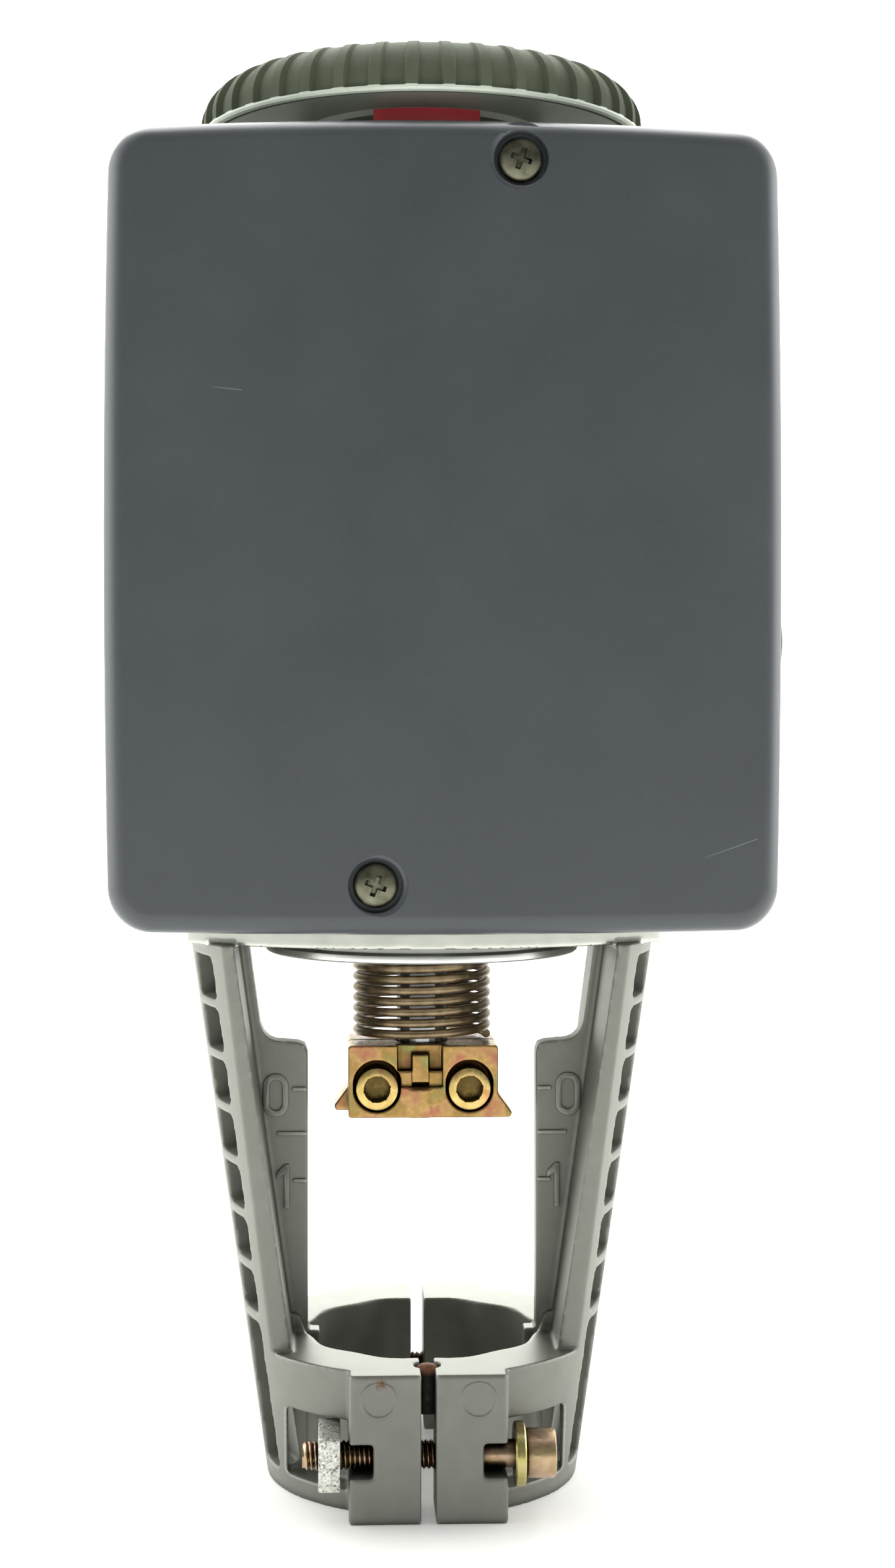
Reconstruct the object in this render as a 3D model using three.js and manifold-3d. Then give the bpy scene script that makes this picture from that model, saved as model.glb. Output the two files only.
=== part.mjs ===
// Electro-hydraulic actuator head for a 20 mm stroke valve, standing on its clamp ring.
// Millimetres, +Z up. The origin is on the valve axis at the underside of the clamp ring, and
// the front, with the cover and the clamp bolt, looks along -Y. The stem stands 5 mm below its
// zero mark, as the manual adjuster holds it.
import * as THREE from 'three';
import { mergeVertices } from 'three/addons/utils/BufferGeometryUtils.js';
import Module from 'manifold-3d';

const wasm = await Module();
wasm.setup();

// Fits
const GAP = 0.3;                 // left between pieces that touch
const LIFT = 5;                  // the stem can rise this far from where it stands
const DROP = 15;                 // and sink this far, 20 mm of stroke in all

// Bracket: a cone-shaped casting, two legs over a split clamp ring
const CONE_FOOT = 33.8;           // outer radius at the foot
const CONE_HEAD = 50.5;           // outer radius under the plate
const RING_TOP = 30.4;
const LEG_TOP = 116.6;
const PLATE_TOP = 120.7;
const BORE = 25;                 // clamp bore, at the crests of its lobes
const LEG_BACK_HEAD = 40.2;      // flat inner face of a leg, from the axis, at its head
const LEG_BACK_FOOT = 28.2;      // and where it meets the ring
const LEG_HALF_HEAD = 27;        // half width of a leg, front to back, at its head
const LEG_HALF_FOOT = 20;
const WEB_EDGE = 25;             // the scale web's inner edge
const WEB_TOP = 93.5;
const WEB_HALF = 3;
const WEB_NECK = 34.2;           // its inner edge narrows to here above WEB_TOP, then leans out
const LUG_FRONT = 39;
const LUG_SIDE = 16.3;
const SLOT_HALF = 1.5;           // half the gap between the two lugs
const BOLT_OUT = 33.5;           // clamp bolt from the valve axis
const BOLT_UP = 12.8;            // and above the foot
const RIB_PITCH = 11.2;
const POCKET_COUNT = 7;
const POCKET_DEPTH = 5;
const POCKET_ANGLE = 18.2;       // degrees from the side of the leg to a pocket's middle
const POCKET_SPREAD = 7.6;       // degrees to each side of its middle

// Housing box
const BOX_MID = 3.2;             // the box sits a little to the right of the valve axis
const BOX_HALF = 68.4;
const BOX_FLOOR = 121;
const BOX_TOP = 284;
const BOX_CORNER = 9;
const COVER_FRONT = -51;
const COVER_BULGE = 9;           // the front stands this far proud of the side edges
const COVER_BACK = -33.8;
const COVER_WALL = 2.5;
const HOUSING_FRONT = -32.2;
const HOUSING_BACK = 104;
const HOUSING_INSET = 0.6;
const HOUSING_WALL = 3;

// Manual adjuster
const KNOB_RADIUS = 48.5;
const KNOB_RIM = 290;
const KNOB_TOP = 300;
const KNOB_RIBS = 40;
const HUB_RADIUS = 26;
const HUB_FOOT = 284.9;
const CRANK_HINGE_BACK = 40;     // hinge of the fold-out crank, behind the axis
const CRANK_HINGE_UP = 297.3;
const CRANK_HALF = 7;
const CRANK_LOW = 294.9;
const CRANK_HIGH = 299.7;
const GRIP_FRONT = -15;

// Hydraulics
const STEM_RADIUS = 5.5;
const CAP_RIM = 34.25;
const CAP_FOOT = 113.6;
const CUP_FOOT = 150;            // moving pressure cylinder
const CUP_TOP = 214;
const POT_RADIUS = 29;           // oil reservoir
const POT_TOP = 227.7;
const COUPLING_FOOT = 78;
const COUPLING_TOP = 93.6;
const COUPLING_HALF = 16.2;
const COUPLING_DEPTH = 10;

const actuator = new THREE.Group();

// ---- materials ----
const finish = (color, roughness, metalness) => () => new THREE.MeshStandardMaterial({
  color, roughness, metalness, flatShading: true,
});
const castAluminium = finish(0x8b8c84, 0.55, 0.7);
const machinedAluminium = finish(0xc9cbc8, 0.3, 0.9);
const brightZinc = finish(0xd2d4d0, 0.25, 0.95);
const yellowZinc = finish(0xb89a55, 0.35, 0.85);
const oilTemperedSteel = finish(0x6f5f4c, 0.4, 0.8);
const steel = finish(0x9fa1a3, 0.35, 0.9);
const rustySteel = finish(0x6b4630, 0.8, 0.4);
const bronze = finish(0xa77b42, 0.4, 0.85);
const copperWinding = finish(0xa9603a, 0.45, 0.7);
const coverPlastic = finish(0x4c5156, 0.6, 0);
const knobPlastic = finish(0x67706a, 0.65, 0);
const redPlastic = finish(0xb5303a, 0.5, 0);
const blackPlastic = finish(0x26282a, 0.6, 0);
const rubber = finish(0x1c1d1e, 0.85, 0);
const boardGreen = finish(0x2f6b45, 0.5, 0);
const terminalGrey = finish(0x9aa09a, 0.6, 0);

// ---- geometry helpers ----
// Shared vertices joined, slivers dropped and faces turned outwards.
function closed(geometry) {
  for (const name of Object.keys(geometry.attributes)) {
    if (name !== 'position') geometry.deleteAttribute(name);
  }
  const merged = mergeVertices(geometry, 1e-4);
  const p = merged.attributes.position;
  const kept = [];
  const a = new THREE.Vector3();
  const b = new THREE.Vector3();
  const c = new THREE.Vector3();
  let volume = 0;
  for (let i = 0; i < merged.index.count; i += 3) {
    const [u, v, w] = [0, 1, 2].map((k) => merged.index.getX(i + k));
    if (u === v || v === w || w === u) continue;
    volume += a.fromBufferAttribute(p, u).dot(
      b.fromBufferAttribute(p, v).cross(c.fromBufferAttribute(p, w)));
    kept.push(u, v, w);
  }
  if (volume < 0) kept.reverse();
  merged.setIndex(kept);
  return merged;
}

function toManifold(geometry) {
  return new wasm.Manifold(new wasm.Mesh({
    numProp: 3,
    vertProperties: new Float32Array(geometry.attributes.position.array),
    triVerts: new Uint32Array(geometry.index.array),
  }));
}

function toGeometry(manifold) {
  const mesh = manifold.getMesh();
  const geometry = new THREE.BufferGeometry();
  geometry.setAttribute('position', new THREE.BufferAttribute(mesh.vertProperties, 3));
  geometry.setIndex(new THREE.BufferAttribute(mesh.triVerts, 1));
  return geometry;
}

const join = (first, ...more) => toGeometry(
  more.reduce((sum, g) => sum.add(toManifold(g)), toManifold(first)));
const cut = (first, ...more) => toGeometry(
  more.reduce((rest, g) => rest.subtract(toManifold(g)), toManifold(first)));
const common = (first, ...more) => toGeometry(
  more.reduce((rest, g) => rest.intersect(toManifold(g)), toManifold(first)));

const AXES = {
  x: [[0, 1, 0], [0, 0, 1], [1, 0, 0]],
  y: [[1, 0, 0], [0, 0, 1], [0, 1, 0]],
  z: [[1, 0, 0], [0, 1, 0], [0, 0, 1]],
};

// Shape drawn in the two axes across `axis`, taken in X, Y, Z order, and drawn out along it.
function extrude(shape, axis, from, to, curveSegments = 6) {
  const geometry = new THREE.ExtrudeGeometry(shape, {
    depth: to - from, bevelEnabled: false, curveSegments,
  });
  geometry.translate(0, 0, from);
  const [u, v, w] = AXES[axis].map((d) => new THREE.Vector3(...d));
  geometry.applyMatrix4(new THREE.Matrix4().makeBasis(u, v, w));
  return closed(geometry);
}

function box(x0, x1, y0, y1, z0, z1) {
  const geometry = new THREE.BoxGeometry(x1 - x0, y1 - y0, z1 - z0);
  geometry.translate((x0 + x1) / 2, (y0 + y1) / 2, (z0 + z1) / 2);
  return closed(geometry);
}

// Cylinder along `axis`; `at` gives its two coordinates across that axis. A full circle gets two
// points for each curve segment.
function rod(axis, radius, from, to, at = [0, 0], sides = 20) {
  const shape = new THREE.Shape();
  shape.absarc(at[0], at[1], radius, 0, 2 * Math.PI);
  return extrude(shape, axis, from, to, sides / 2);
}

// Turned piece about Z from [radius, height] points.
function turned(profile, sides = 32, at = [0, 0]) {
  const points = profile.map(([r, z]) => new THREE.Vector2(r, z));
  const geometry = new THREE.LatheGeometry(points, sides);
  geometry.rotateX(Math.PI / 2);
  geometry.translate(at[0], at[1], 0);
  return closed(geometry);
}

const ring = (inner, outer, z0, z1, sides = 32, at = [0, 0]) => turned(
  [[inner, z0], [outer, z0], [outer, z1], [inner, z1], [inner, z0]], sides, at);

function polygon(points) {
  return new THREE.Shape(points.map(([x, y]) => new THREE.Vector2(x, y)));
}

// Rectangle with its four corners cut at 45 degrees.
function clipped(halfWidth, halfHeight, clip) {
  return polygon([
    [-halfWidth + clip, -halfHeight], [halfWidth - clip, -halfHeight],
    [halfWidth, -halfHeight + clip], [halfWidth, halfHeight - clip],
    [halfWidth - clip, halfHeight], [-halfWidth + clip, halfHeight],
    [-halfWidth, halfHeight - clip], [-halfWidth, -halfHeight + clip],
  ]);
}

// Block between two rectangles [x0, x1, y0, y1, z], one over the other.
function tapered(lower, upper) {
  const corners = ([x0, x1, y0, y1, z]) => [[x0, y0, z], [x1, y0, z], [x1, y1, z], [x0, y1, z]];
  const geometry = new THREE.BufferGeometry();
  const points = [...corners(lower), ...corners(upper)].flat();
  geometry.setAttribute('position', new THREE.Float32BufferAttribute(points, 3));
  geometry.setIndex([
    0, 2, 1, 0, 3, 2, 4, 5, 6, 4, 6, 7, 0, 1, 5, 0, 5, 4,
    1, 2, 6, 1, 6, 5, 2, 3, 7, 2, 7, 6, 3, 0, 4, 3, 4, 7,
  ]);
  return closed(geometry);
}

class Helix extends THREE.Curve {
  constructor(radius, foot, top, turns) {
    super();
    Object.assign(this, { radius, foot, top, turns });
  }

  getPoint(t, target = new THREE.Vector3()) {
    const angle = 2 * Math.PI * this.turns * t;
    return target.set(
      this.radius * Math.cos(angle), this.radius * Math.sin(angle),
      this.foot + (this.top - this.foot) * t);
  }
}

// Coil spring standing between two heights.
function coil(radius, wire, z0, z1, turns, stepsPerTurn, sides) {
  const section = new THREE.Shape();
  section.absarc(0, 0, wire / 2, 0, 2 * Math.PI);
  return closed(new THREE.ExtrudeGeometry(section, {
    extrudePath: new Helix(radius, z0 + wire / 2, z1 - wire / 2, turns),
    steps: Math.round(turns * stepsPerTurn), bevelEnabled: false, curveSegments: sides,
  }));
}

function hexagon(acrossFlats, at = [0, 0]) {
  const corner = acrossFlats / Math.sqrt(3);
  return polygon([0, 1, 2, 3, 4, 5].map((k) => [
    at[0] + corner * Math.cos(k * Math.PI / 3), at[1] + corner * Math.sin(k * Math.PI / 3)]));
}

const halfTurn = (geometry) => geometry.clone().rotateZ(Math.PI);

function add(name, material, geometry) {
  geometry.computeVertexNormals();
  const mesh = new THREE.Mesh(geometry, material());
  mesh.name = name;
  actuator.add(mesh);
}

// ---- bracket and clamp ----
const coneRadius = (z) => CONE_FOOT + (CONE_HEAD - CONE_FOOT) * z / LEG_TOP;
const between = (foot, head, z) => foot + (head - foot) * (z - RING_TOP) / (LEG_TOP - RING_TOP);
const legBack = (z) => between(LEG_BACK_FOOT, LEG_BACK_HEAD, z);
const legHalf = (z) => between(LEG_HALF_FOOT, LEG_HALF_HEAD, z);

function cone(z0, z1) {
  return turned([[0, z0], [coneRadius(z0), z0], [coneRadius(z1), z1], [0, z1]], 52);
}

function rightLeg() {
  const foot = 24;
  const section = (z) => [legBack(z), CONE_HEAD + 2, -legHalf(z), legHalf(z), z];
  const leg = common(cone(foot, LEG_TOP + 1), tapered(section(foot), section(LEG_TOP + 1)));
  const web = extrude(polygon([
    [WEB_EDGE, foot], [legBack(foot) + 5, foot], [LEG_BACK_HEAD + 2, LEG_TOP + 1],
    [WEB_NECK + 4, LEG_TOP + 1], [WEB_NECK + 1.2, WEB_TOP + 4], [WEB_NECK - 1.5, WEB_TOP + 0.8],
    [WEB_EDGE + 2.5, WEB_TOP], [WEB_EDGE, WEB_TOP - 2.5]]), 'y', -WEB_HALF, WEB_HALF);
  return join(leg, web);
}

// Cavity in the outside of the right leg, `turn` degrees round from its side.
function pocket(middle, halfHeight, turn) {
  const radius = coneRadius(middle);
  const halfWidth = radius * Math.sin(THREE.MathUtils.degToRad(POCKET_SPREAD));
  const tool = extrude(clipped(halfWidth, halfHeight, 1.5), 'x', -POCKET_DEPTH, 6);
  tool.rotateY(Math.atan((CONE_HEAD - CONE_FOOT) / LEG_TOP));
  tool.translate(radius, 0, middle);
  tool.rotateZ(THREE.MathUtils.degToRad(turn));
  return tool;
}

function legPockets() {
  const rib = 1.8;
  const scoopFoot = 4;
  const tools = [];
  for (const turn of [-POCKET_ANGLE, POCKET_ANGLE]) {
    for (let k = 0; k < POCKET_COUNT; k += 1) {
      const top = LEG_TOP - 2.4 - k * RIB_PITCH;
      tools.push(pocket(top - (RIB_PITCH - rib) / 2, (RIB_PITCH - rib) / 2, turn));
    }
    const top = LEG_TOP - 2.4 - POCKET_COUNT * RIB_PITCH;
    tools.push(pocket((top + scoopFoot) / 2, (top - scoopFoot) / 2, turn));
  }
  return [...tools, ...tools.map(halfTurn)];
}

function clampBore() {
  const lobes = 10;
  const steps = 4 * lobes;
  const depth = 0.7;
  const outline = [];
  for (let k = 0; k < steps; k += 1) {
    const angle = 2 * Math.PI * (k + 0.5) / steps;
    const radius = BORE + depth * (1 + Math.cos(lobes * angle)) / 2;
    outline.push([radius * Math.cos(angle), radius * Math.sin(angle)]);
  }
  return extrude(polygon(outline), 'z', -1, RING_TOP + 1);
}

// Bolt lug halves in front of the ring, with the pin hole between them.
function lugs() {
  return box(-LUG_SIDE, LUG_SIDE, -LUG_FRONT, -20, 0, RING_TOP);
}

function clampCuts() {
  const pocketTop = 19.6;
  const pocketFoot = 4.4;
  const notch = 3.5;
  const reach = 29;
  const floor = rod('z', 28.6, 0, RING_TOP, [0, 0], 28);
  const side = cut(box(LUG_SIDE, reach, -LUG_FRONT - 1, -14, pocketFoot, pocketTop), floor);
  const otherSide = cut(box(-reach, -LUG_SIDE, -LUG_FRONT - 1, -14, pocketFoot, pocketTop), floor);
  const notchBack = -BOLT_OUT + notch;
  return [
    box(-SLOT_HALF, SLOT_HALF, -LUG_FRONT - 1, -BORE + 3, -1, RING_TOP + 1),
    side, otherSide,
    box(11.3, LUG_SIDE + 1, -LUG_FRONT - 1, notchBack, BOLT_UP - notch, BOLT_UP + notch),
    box(-LUG_SIDE - 1, -11.3, -LUG_FRONT - 1, notchBack, BOLT_UP - notch, BOLT_UP + notch),
    rod('x', 3.3, -LUG_SIDE - 1, LUG_SIDE + 1, [-BOLT_OUT, BOLT_UP], 14),
  ];
}

// Top plate: a shallow bow in front, square behind, open where the cylinder shows through.
function topPlate() {
  const side = 50.5;
  const bow = 100.8;
  const bowCentre = 70;
  const back = 44;
  const reach = Math.asin(side / bow);
  const outline = new THREE.Shape();
  outline.absarc(0, bowCentre, bow, -Math.PI / 2 - reach, -Math.PI / 2 + reach, false);
  outline.lineTo(side, back - 10);
  outline.lineTo(side - 10, back);
  outline.lineTo(-side + 10, back);
  outline.lineTo(-side, back - 10);
  outline.closePath();
  return extrude(outline, 'z', LEG_TOP, PLATE_TOP, 6);
}

const BASE_SCREWS = [[-43, 8], [43, 8]];

function yokeBracket() {
  const keyReach = 2.6;
  const key = box(BORE - keyReach, BORE + 3, -2.5, 2.5, RING_TOP - 8, RING_TOP);
  const ringBody = cut(join(cone(0, RING_TOP), lugs(), halfTurn(lugs())), clampBore());
  const body = join(ringBody, key, halfTurn(key), rightLeg(), halfTurn(rightLeg()), topPlate());
  const pinHole = rod('z', 2.75, 17.7, RING_TOP + 1, [0, -30.5], 14);
  const cylinderHole = rod('z', 33.2, LEG_TOP - 1, PLATE_TOP + 1, [0, 0], 36);
  const screwHoles = BASE_SCREWS.map((at) => rod('z', 2.8, LEG_TOP - 1, PLATE_TOP + 1, at, 12));
  return cut(
    body, ...clampCuts(), ...clampCuts().map(halfTurn), ...legPockets(),
    pinHole, cylinderHole, ...screwHoles);
}


add('yoke_bracket', castAluminium, yokeBracket());

function capScrewAlongX(headFrom, headLength, headRadius, shankRadius, tip, at, hex) {
  const screw = join(
    rod('x', headRadius, headFrom, headFrom + headLength, at, 24),
    rod('x', shankRadius, tip, headFrom + 0.1, at, 14));
  const face = headFrom + headLength;
  const socket = extrude(hexagon(hex, at), 'x', face - 3, face + 1);
  return cut(screw, socket);
}

function clampBolt() {
  return capScrewAlongX(20.3, 6, 5, 2.9, -25.8, [-BOLT_OUT, BOLT_UP], 5);
}

function clampWasher() {
  return cut(
    rod('x', 6.5, 17.8, 20, [-BOLT_OUT, BOLT_UP - 0.1], 24),
    rod('x', 3.25, 17, 21, [-BOLT_OUT, BOLT_UP], 14));
}

function clampNut() {
  const half = 5.8;
  const nut = box(-22.5, -18, -half, half, -half, half);
  nut.rotateX(THREE.MathUtils.degToRad(6));
  nut.translate(0, -BOLT_OUT, BOLT_UP);
  return cut(nut, rod('x', 3.2, -24, -17, [-BOLT_OUT, BOLT_UP], 14));
}

add('front_clamp_bolt', yellowZinc, clampBolt());
add('front_clamp_washer', yellowZinc, clampWasher());
add('front_clamp_nut', brightZinc, clampNut());
add('rear_clamp_bolt', yellowZinc, halfTurn(clampBolt()));
add('rear_clamp_washer', yellowZinc, halfTurn(clampWasher()));
add('rear_clamp_nut', brightZinc, halfTurn(clampNut()));
add('locating_pin', rustySteel, turned(
  [[0, 18], [2.45, 18], [2.45, 29.8], [1.6, 30.4], [0, 30.7]], 14, [0, -30.5]));

// ---- stem, coupling and their spring ----
function stemRod() {
  const shoulder = CUP_FOOT - GAP;
  return turned([
    [0, 84.6], [STEM_RADIUS, 84.6], [STEM_RADIUS, shoulder], [4, shoulder], [4, 161], [0, 161],
  ], 24);
}

function couplingBores() {
  return [
    rod('z', STEM_RADIUS + GAP, 84.3, COUPLING_TOP + 1, [0, 0], 24),
    rod('z', 4.3, COUPLING_FOOT - 1, 85, [0, 0], 20),
  ];
}

const COUPLING_SCREWS = [-10, 10];
const COUPLING_SCREW_UP = 84.3;

// Outline of one half from the front, with its pointer fin to the right.
function couplingOutline() {
  return polygon([
    [-COUPLING_HALF, COUPLING_FOOT + 0.6], [-COUPLING_HALF + 1, COUPLING_FOOT],
    [18.6, COUPLING_FOOT + 0.2], [19.3, COUPLING_FOOT + 1], [COUPLING_HALF, 83.2],
    [COUPLING_HALF, COUPLING_TOP - 1], [COUPLING_HALF - 1, COUPLING_TOP],
    [-COUPLING_HALF, COUPLING_TOP],
  ]);
}

function couplingFront() {
  const half = extrude(couplingOutline(), 'y', -COUPLING_DEPTH, -GAP);
  const recess = box(-5.6, 4.2, -COUPLING_DEPTH - 1, -7.2, 84.6, COUPLING_TOP + 1);
  const tab = box(-2.4, 1.2, -9.4, -7, 85.4, COUPLING_TOP - 2);
  const seats = COUPLING_SCREWS.map((x) => rod(
    'y', 5.1, -COUPLING_DEPTH - 1, -6, [x, COUPLING_SCREW_UP], 20));
  const holes = COUPLING_SCREWS.map((x) => rod(
    'y', 2.7, -COUPLING_DEPTH - 1, 0, [x, COUPLING_SCREW_UP], 12));
  return cut(join(cut(half, recess), tab), ...seats, ...holes, ...couplingBores());
}

function couplingRear() {
  const half = halfTurn(extrude(couplingOutline(), 'y', -COUPLING_DEPTH, -GAP));
  const holes = COUPLING_SCREWS.map((x) => rod(
    'y', 2.7, 0, COUPLING_DEPTH - 2, [x, COUPLING_SCREW_UP], 12));
  return cut(half, ...holes, ...couplingBores());
}

function couplingScrew(x) {
  const at = [x, COUPLING_SCREW_UP];
  const screw = join(rod('y', 4.6, -10.9, -6.3, at, 20), rod('y', 2.4, -6.4, 7.6, at, 12));
  return cut(screw, extrude(hexagon(4.6, at), 'y', -11.5, -8));
}

add('stem_rod', steel, stemRod());
add('coupling_front', yellowZinc, couplingFront());
add('coupling_rear', yellowZinc, couplingRear());
add('coupling_screw_left', yellowZinc, couplingScrew(COUPLING_SCREWS[0]));
add('coupling_screw_right', yellowZinc, couplingScrew(COUPLING_SCREWS[1]));
add('stem_spring', oilTemperedSteel, coil(
  14.2, 1.9, COUPLING_TOP + GAP, CAP_FOOT - GAP, 7.5, 12, 2));

// ---- cylinder cap, reservoir, pressure cylinder and piston ----
const RESERVOIR_FOOT = 121.6;

add('cylinder_cap', brightZinc, turned([
  [9.3, CAP_FOOT], [CAP_RIM, CAP_FOOT], [CAP_RIM, 115.6], [32.8, 115.6], [32.8, 121.3],
  [26.6, 121.3], [26.6, 130], [9.3, 130], [9.3, CAP_FOOT]], 36));
add('stem_bush', bronze, ring(STEM_RADIUS + GAP, 9, 114, 130, 24));
add('oil_reservoir', machinedAluminium, ring(27, POT_RADIUS, RESERVOIR_FOOT, POT_TOP, 28));
add('reservoir_lid', machinedAluminium, ring(11.3, POT_RADIUS, POT_TOP + GAP, 233.7, 28));
add('pressure_cylinder', steel, turned([
  [4.3, CUP_FOOT], [20, CUP_FOOT], [20, 209], [25.5, 209], [25.5, CUP_TOP], [17, CUP_TOP],
  [17, CUP_FOOT + 6], [4.3, CUP_FOOT + 6], [4.3, CUP_FOOT]], 24));
add('cylinder_nut', steel, cut(
  extrude(hexagon(12), 'z', CUP_FOOT + 6 + GAP, 161.3), rod('z', 4.3, 150, 165, [0, 0], 16)));
add('piston', steel, turned([
  [7.8, 180], [16.7, 180], [16.7, 184], [14, 184], [14, 188], [16.7, 188], [16.7, 192],
  [11, 192], [11, 222], [14, 222], [14, POT_TOP], [11, POT_TOP], [11, 240], [7.8, 240],
  [7.8, 180]], 20));
add('piston_seal', rubber, ring(14.3, 16.75, 184.2, 187.8, 20));
add('piston_lock_nut', steel, cut(
  extrude(hexagon(28), 'z', 234, 238.5), rod('z', 11.3, 230, 240, [0, 0], 16)));
add('return_spring', oilTemperedSteel, coil(23.2, 3.2, 130.3, 209 - GAP, 7, 10, 2));

// ---- manual adjuster ----
const KEY_REACH = 35;
const SENSOR_AT = [33, 0];

function spindleNut() {
  const body = join(rod('z', 15.8, 259, 269, [0, 0], 20), box(10, KEY_REACH, -2, 2, 259, 264));
  return cut(body, rod('z', 5, 258, 270, [0, 0], 20));
}

function adjusterHousing() {
  const shell = turned([
    [16.8, 234], [19.6, 234], [19.6, 280], [5.2, 280], [5.2, 276], [16.8, 276], [16.8, 234],
  ], 20);
  return cut(shell, box(10, 22, -2.4, 2.4, 241, 275.5));
}

function knobOutline() {
  const groove = 1.3;
  const outline = [];
  for (let k = 0; k < KNOB_RIBS; k += 1) {
    for (const [share, radius] of [
      [-0.28, KNOB_RADIUS - groove], [0.28, KNOB_RADIUS - groove],
      [0.34, KNOB_RADIUS], [0.66, KNOB_RADIUS]]) {
      const angle = 2 * Math.PI * (k + share) / KNOB_RIBS;
      outline.push([radius * Math.cos(angle), radius * Math.sin(angle)]);
    }
  }
  return polygon(outline);
}

function adjusterKnob() {
  const plateFoot = 292;
  const disc = extrude(knobOutline(), 'z', KNOB_RIM, KNOB_TOP);
  const underside = rod('z', 46, KNOB_RIM - 1, plateFoot, [0, 0], 32);
  const hub = rod('z', HUB_RADIUS, HUB_FOOT, plateFoot + 1, [0, 0], 28);
  const armSlot = box(
    -CRANK_HALF - 0.4, CRANK_HALF + 0.4, -26, KNOB_RADIUS + 2, CRANK_LOW - 0.6, KNOB_TOP + 1);
  return cut(
    join(cut(disc, underside), hub), armSlot,
    rod('x', 1.5, -12, 12, [CRANK_HINGE_BACK, CRANK_HINGE_UP], 10),
    rod('z', 8, 286.6, CRANK_LOW, [0, GRIP_FRONT], 20),
    rod('z', 6.3, HUB_FOOT - 1, 289, [0, 0], 20),
    rod('z', 2.3, 288, 292, [0, 0], 12),
    rod('z', 4.6, 291, CRANK_LOW, [0, 0], 16));
}

function adjusterSpindle() {
  const body = turned([
    [0, 243], [4.7, 243], [4.7, 274.3], [9, 274.3], [9, 275.7], [4.9, 275.7], [4.9, 285.2],
    [6, 285.2], [6, 288.7], [0, 288.7]], 16);
  return cut(body, rod('z', 2.2, 280, 290, [0, 0], 12));
}

function crankArm() {
  const thick = (CRANK_HIGH - CRANK_LOW) / 2;
  const side = new THREE.Shape();
  side.moveTo(-23.4, CRANK_LOW);
  side.lineTo(CRANK_HINGE_BACK, CRANK_LOW);
  side.absarc(CRANK_HINGE_BACK, CRANK_HINGE_UP, thick, -Math.PI / 2, Math.PI / 2, false);
  side.lineTo(-21.4, CRANK_HIGH);
  side.lineTo(-23.4, CRANK_HIGH - 2);
  side.closePath();
  const arm = extrude(side, 'x', -CRANK_HALF, CRANK_HALF, 6);
  const stub = rod('z', 2.5, 288.4, CRANK_LOW + 0.5, [0, GRIP_FRONT], 14);
  return cut(
    join(arm, stub), rod('x', 1.5, -8, 8, [CRANK_HINGE_BACK, CRANK_HINGE_UP], 10));
}

// Red insert on the neck, a short stretch of ring at the front.
function indicator() {
  const reach = THREE.MathUtils.degToRad(21.5);
  const shape = new THREE.Shape();
  shape.absarc(0, 0, 30.6, -Math.PI / 2 - reach, -Math.PI / 2 + reach, false);
  shape.absarc(0, 0, 26.9, -Math.PI / 2 + reach, -Math.PI / 2 - reach, true);
  shape.closePath();
  return extrude(shape, 'z', 287.3, 291, 8);
}

add('push_tube', steel, ring(5.3, 7.4, 161.6, 258.7, 20));
add('spindle_nut', bronze, spindleNut());
add('adjuster_housing', machinedAluminium, adjusterHousing());
add('thrust_bearing', steel, ring(5.2, 11, 280.3, 284.5, 24));
add('adjuster_spindle', steel, adjusterSpindle());
add('adjuster_knob', knobPlastic, adjusterKnob());
add('knob_screw', steel, turned(
  [[0, 281], [1.9, 281], [1.9, 291.3], [4.2, 291.3], [4.2, 294], [0, 294]], 14));
add('crank_arm', knobPlastic, crankArm());
add('crank_pin', steel, rod('x', 1.2, -11.5, 11.5, [CRANK_HINGE_BACK, CRANK_HINGE_UP], 10));
add('crank_grip', blackPlastic, ring(2.8, 7.5, 287.3, CRANK_LOW - GAP, 20, [0, GRIP_FRONT]));
add('indicator_ring', redPlastic, indicator());
add('position_sensor_coil', copperWinding, ring(1.9, 3.6, 180, 236, 16, SENSOR_AT));
add('position_sensor_rod', steel, rod('z', 1.6, 205, 259 - GAP, SENSOR_AT, 10));

// ---- housing ----
function boxOutline(inset) {
  const half = BOX_HALF - inset;
  const corner = BOX_CORNER - inset;
  const barrel = 0.9;
  const low = BOX_FLOOR + inset;
  const high = BOX_TOP - inset;
  const mid = (low + high) / 2;
  const s = new THREE.Shape();
  s.moveTo(BOX_MID - half + corner, low);
  s.lineTo(BOX_MID + half - corner, low);
  s.absarc(BOX_MID + half - corner, low + corner, corner, -Math.PI / 2, 0, false);
  s.lineTo(BOX_MID + half + barrel, mid);
  s.lineTo(BOX_MID + half, high - corner);
  s.absarc(BOX_MID + half - corner, high - corner, corner, 0, Math.PI / 2, false);
  s.lineTo(BOX_MID - half + corner, high);
  s.absarc(BOX_MID - half + corner, high - corner, corner, Math.PI / 2, Math.PI, false);
  s.lineTo(BOX_MID - half - barrel, mid);
  s.lineTo(BOX_MID - half, low + corner);
  s.absarc(BOX_MID - half + corner, low + corner, corner, Math.PI, 1.5 * Math.PI, false);
  return s;
}

// Height of the bowed front at a place across the box.
const frontAt = (x) => COVER_FRONT + COVER_BULGE * ((x - BOX_MID) / BOX_HALF) ** 2;

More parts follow.
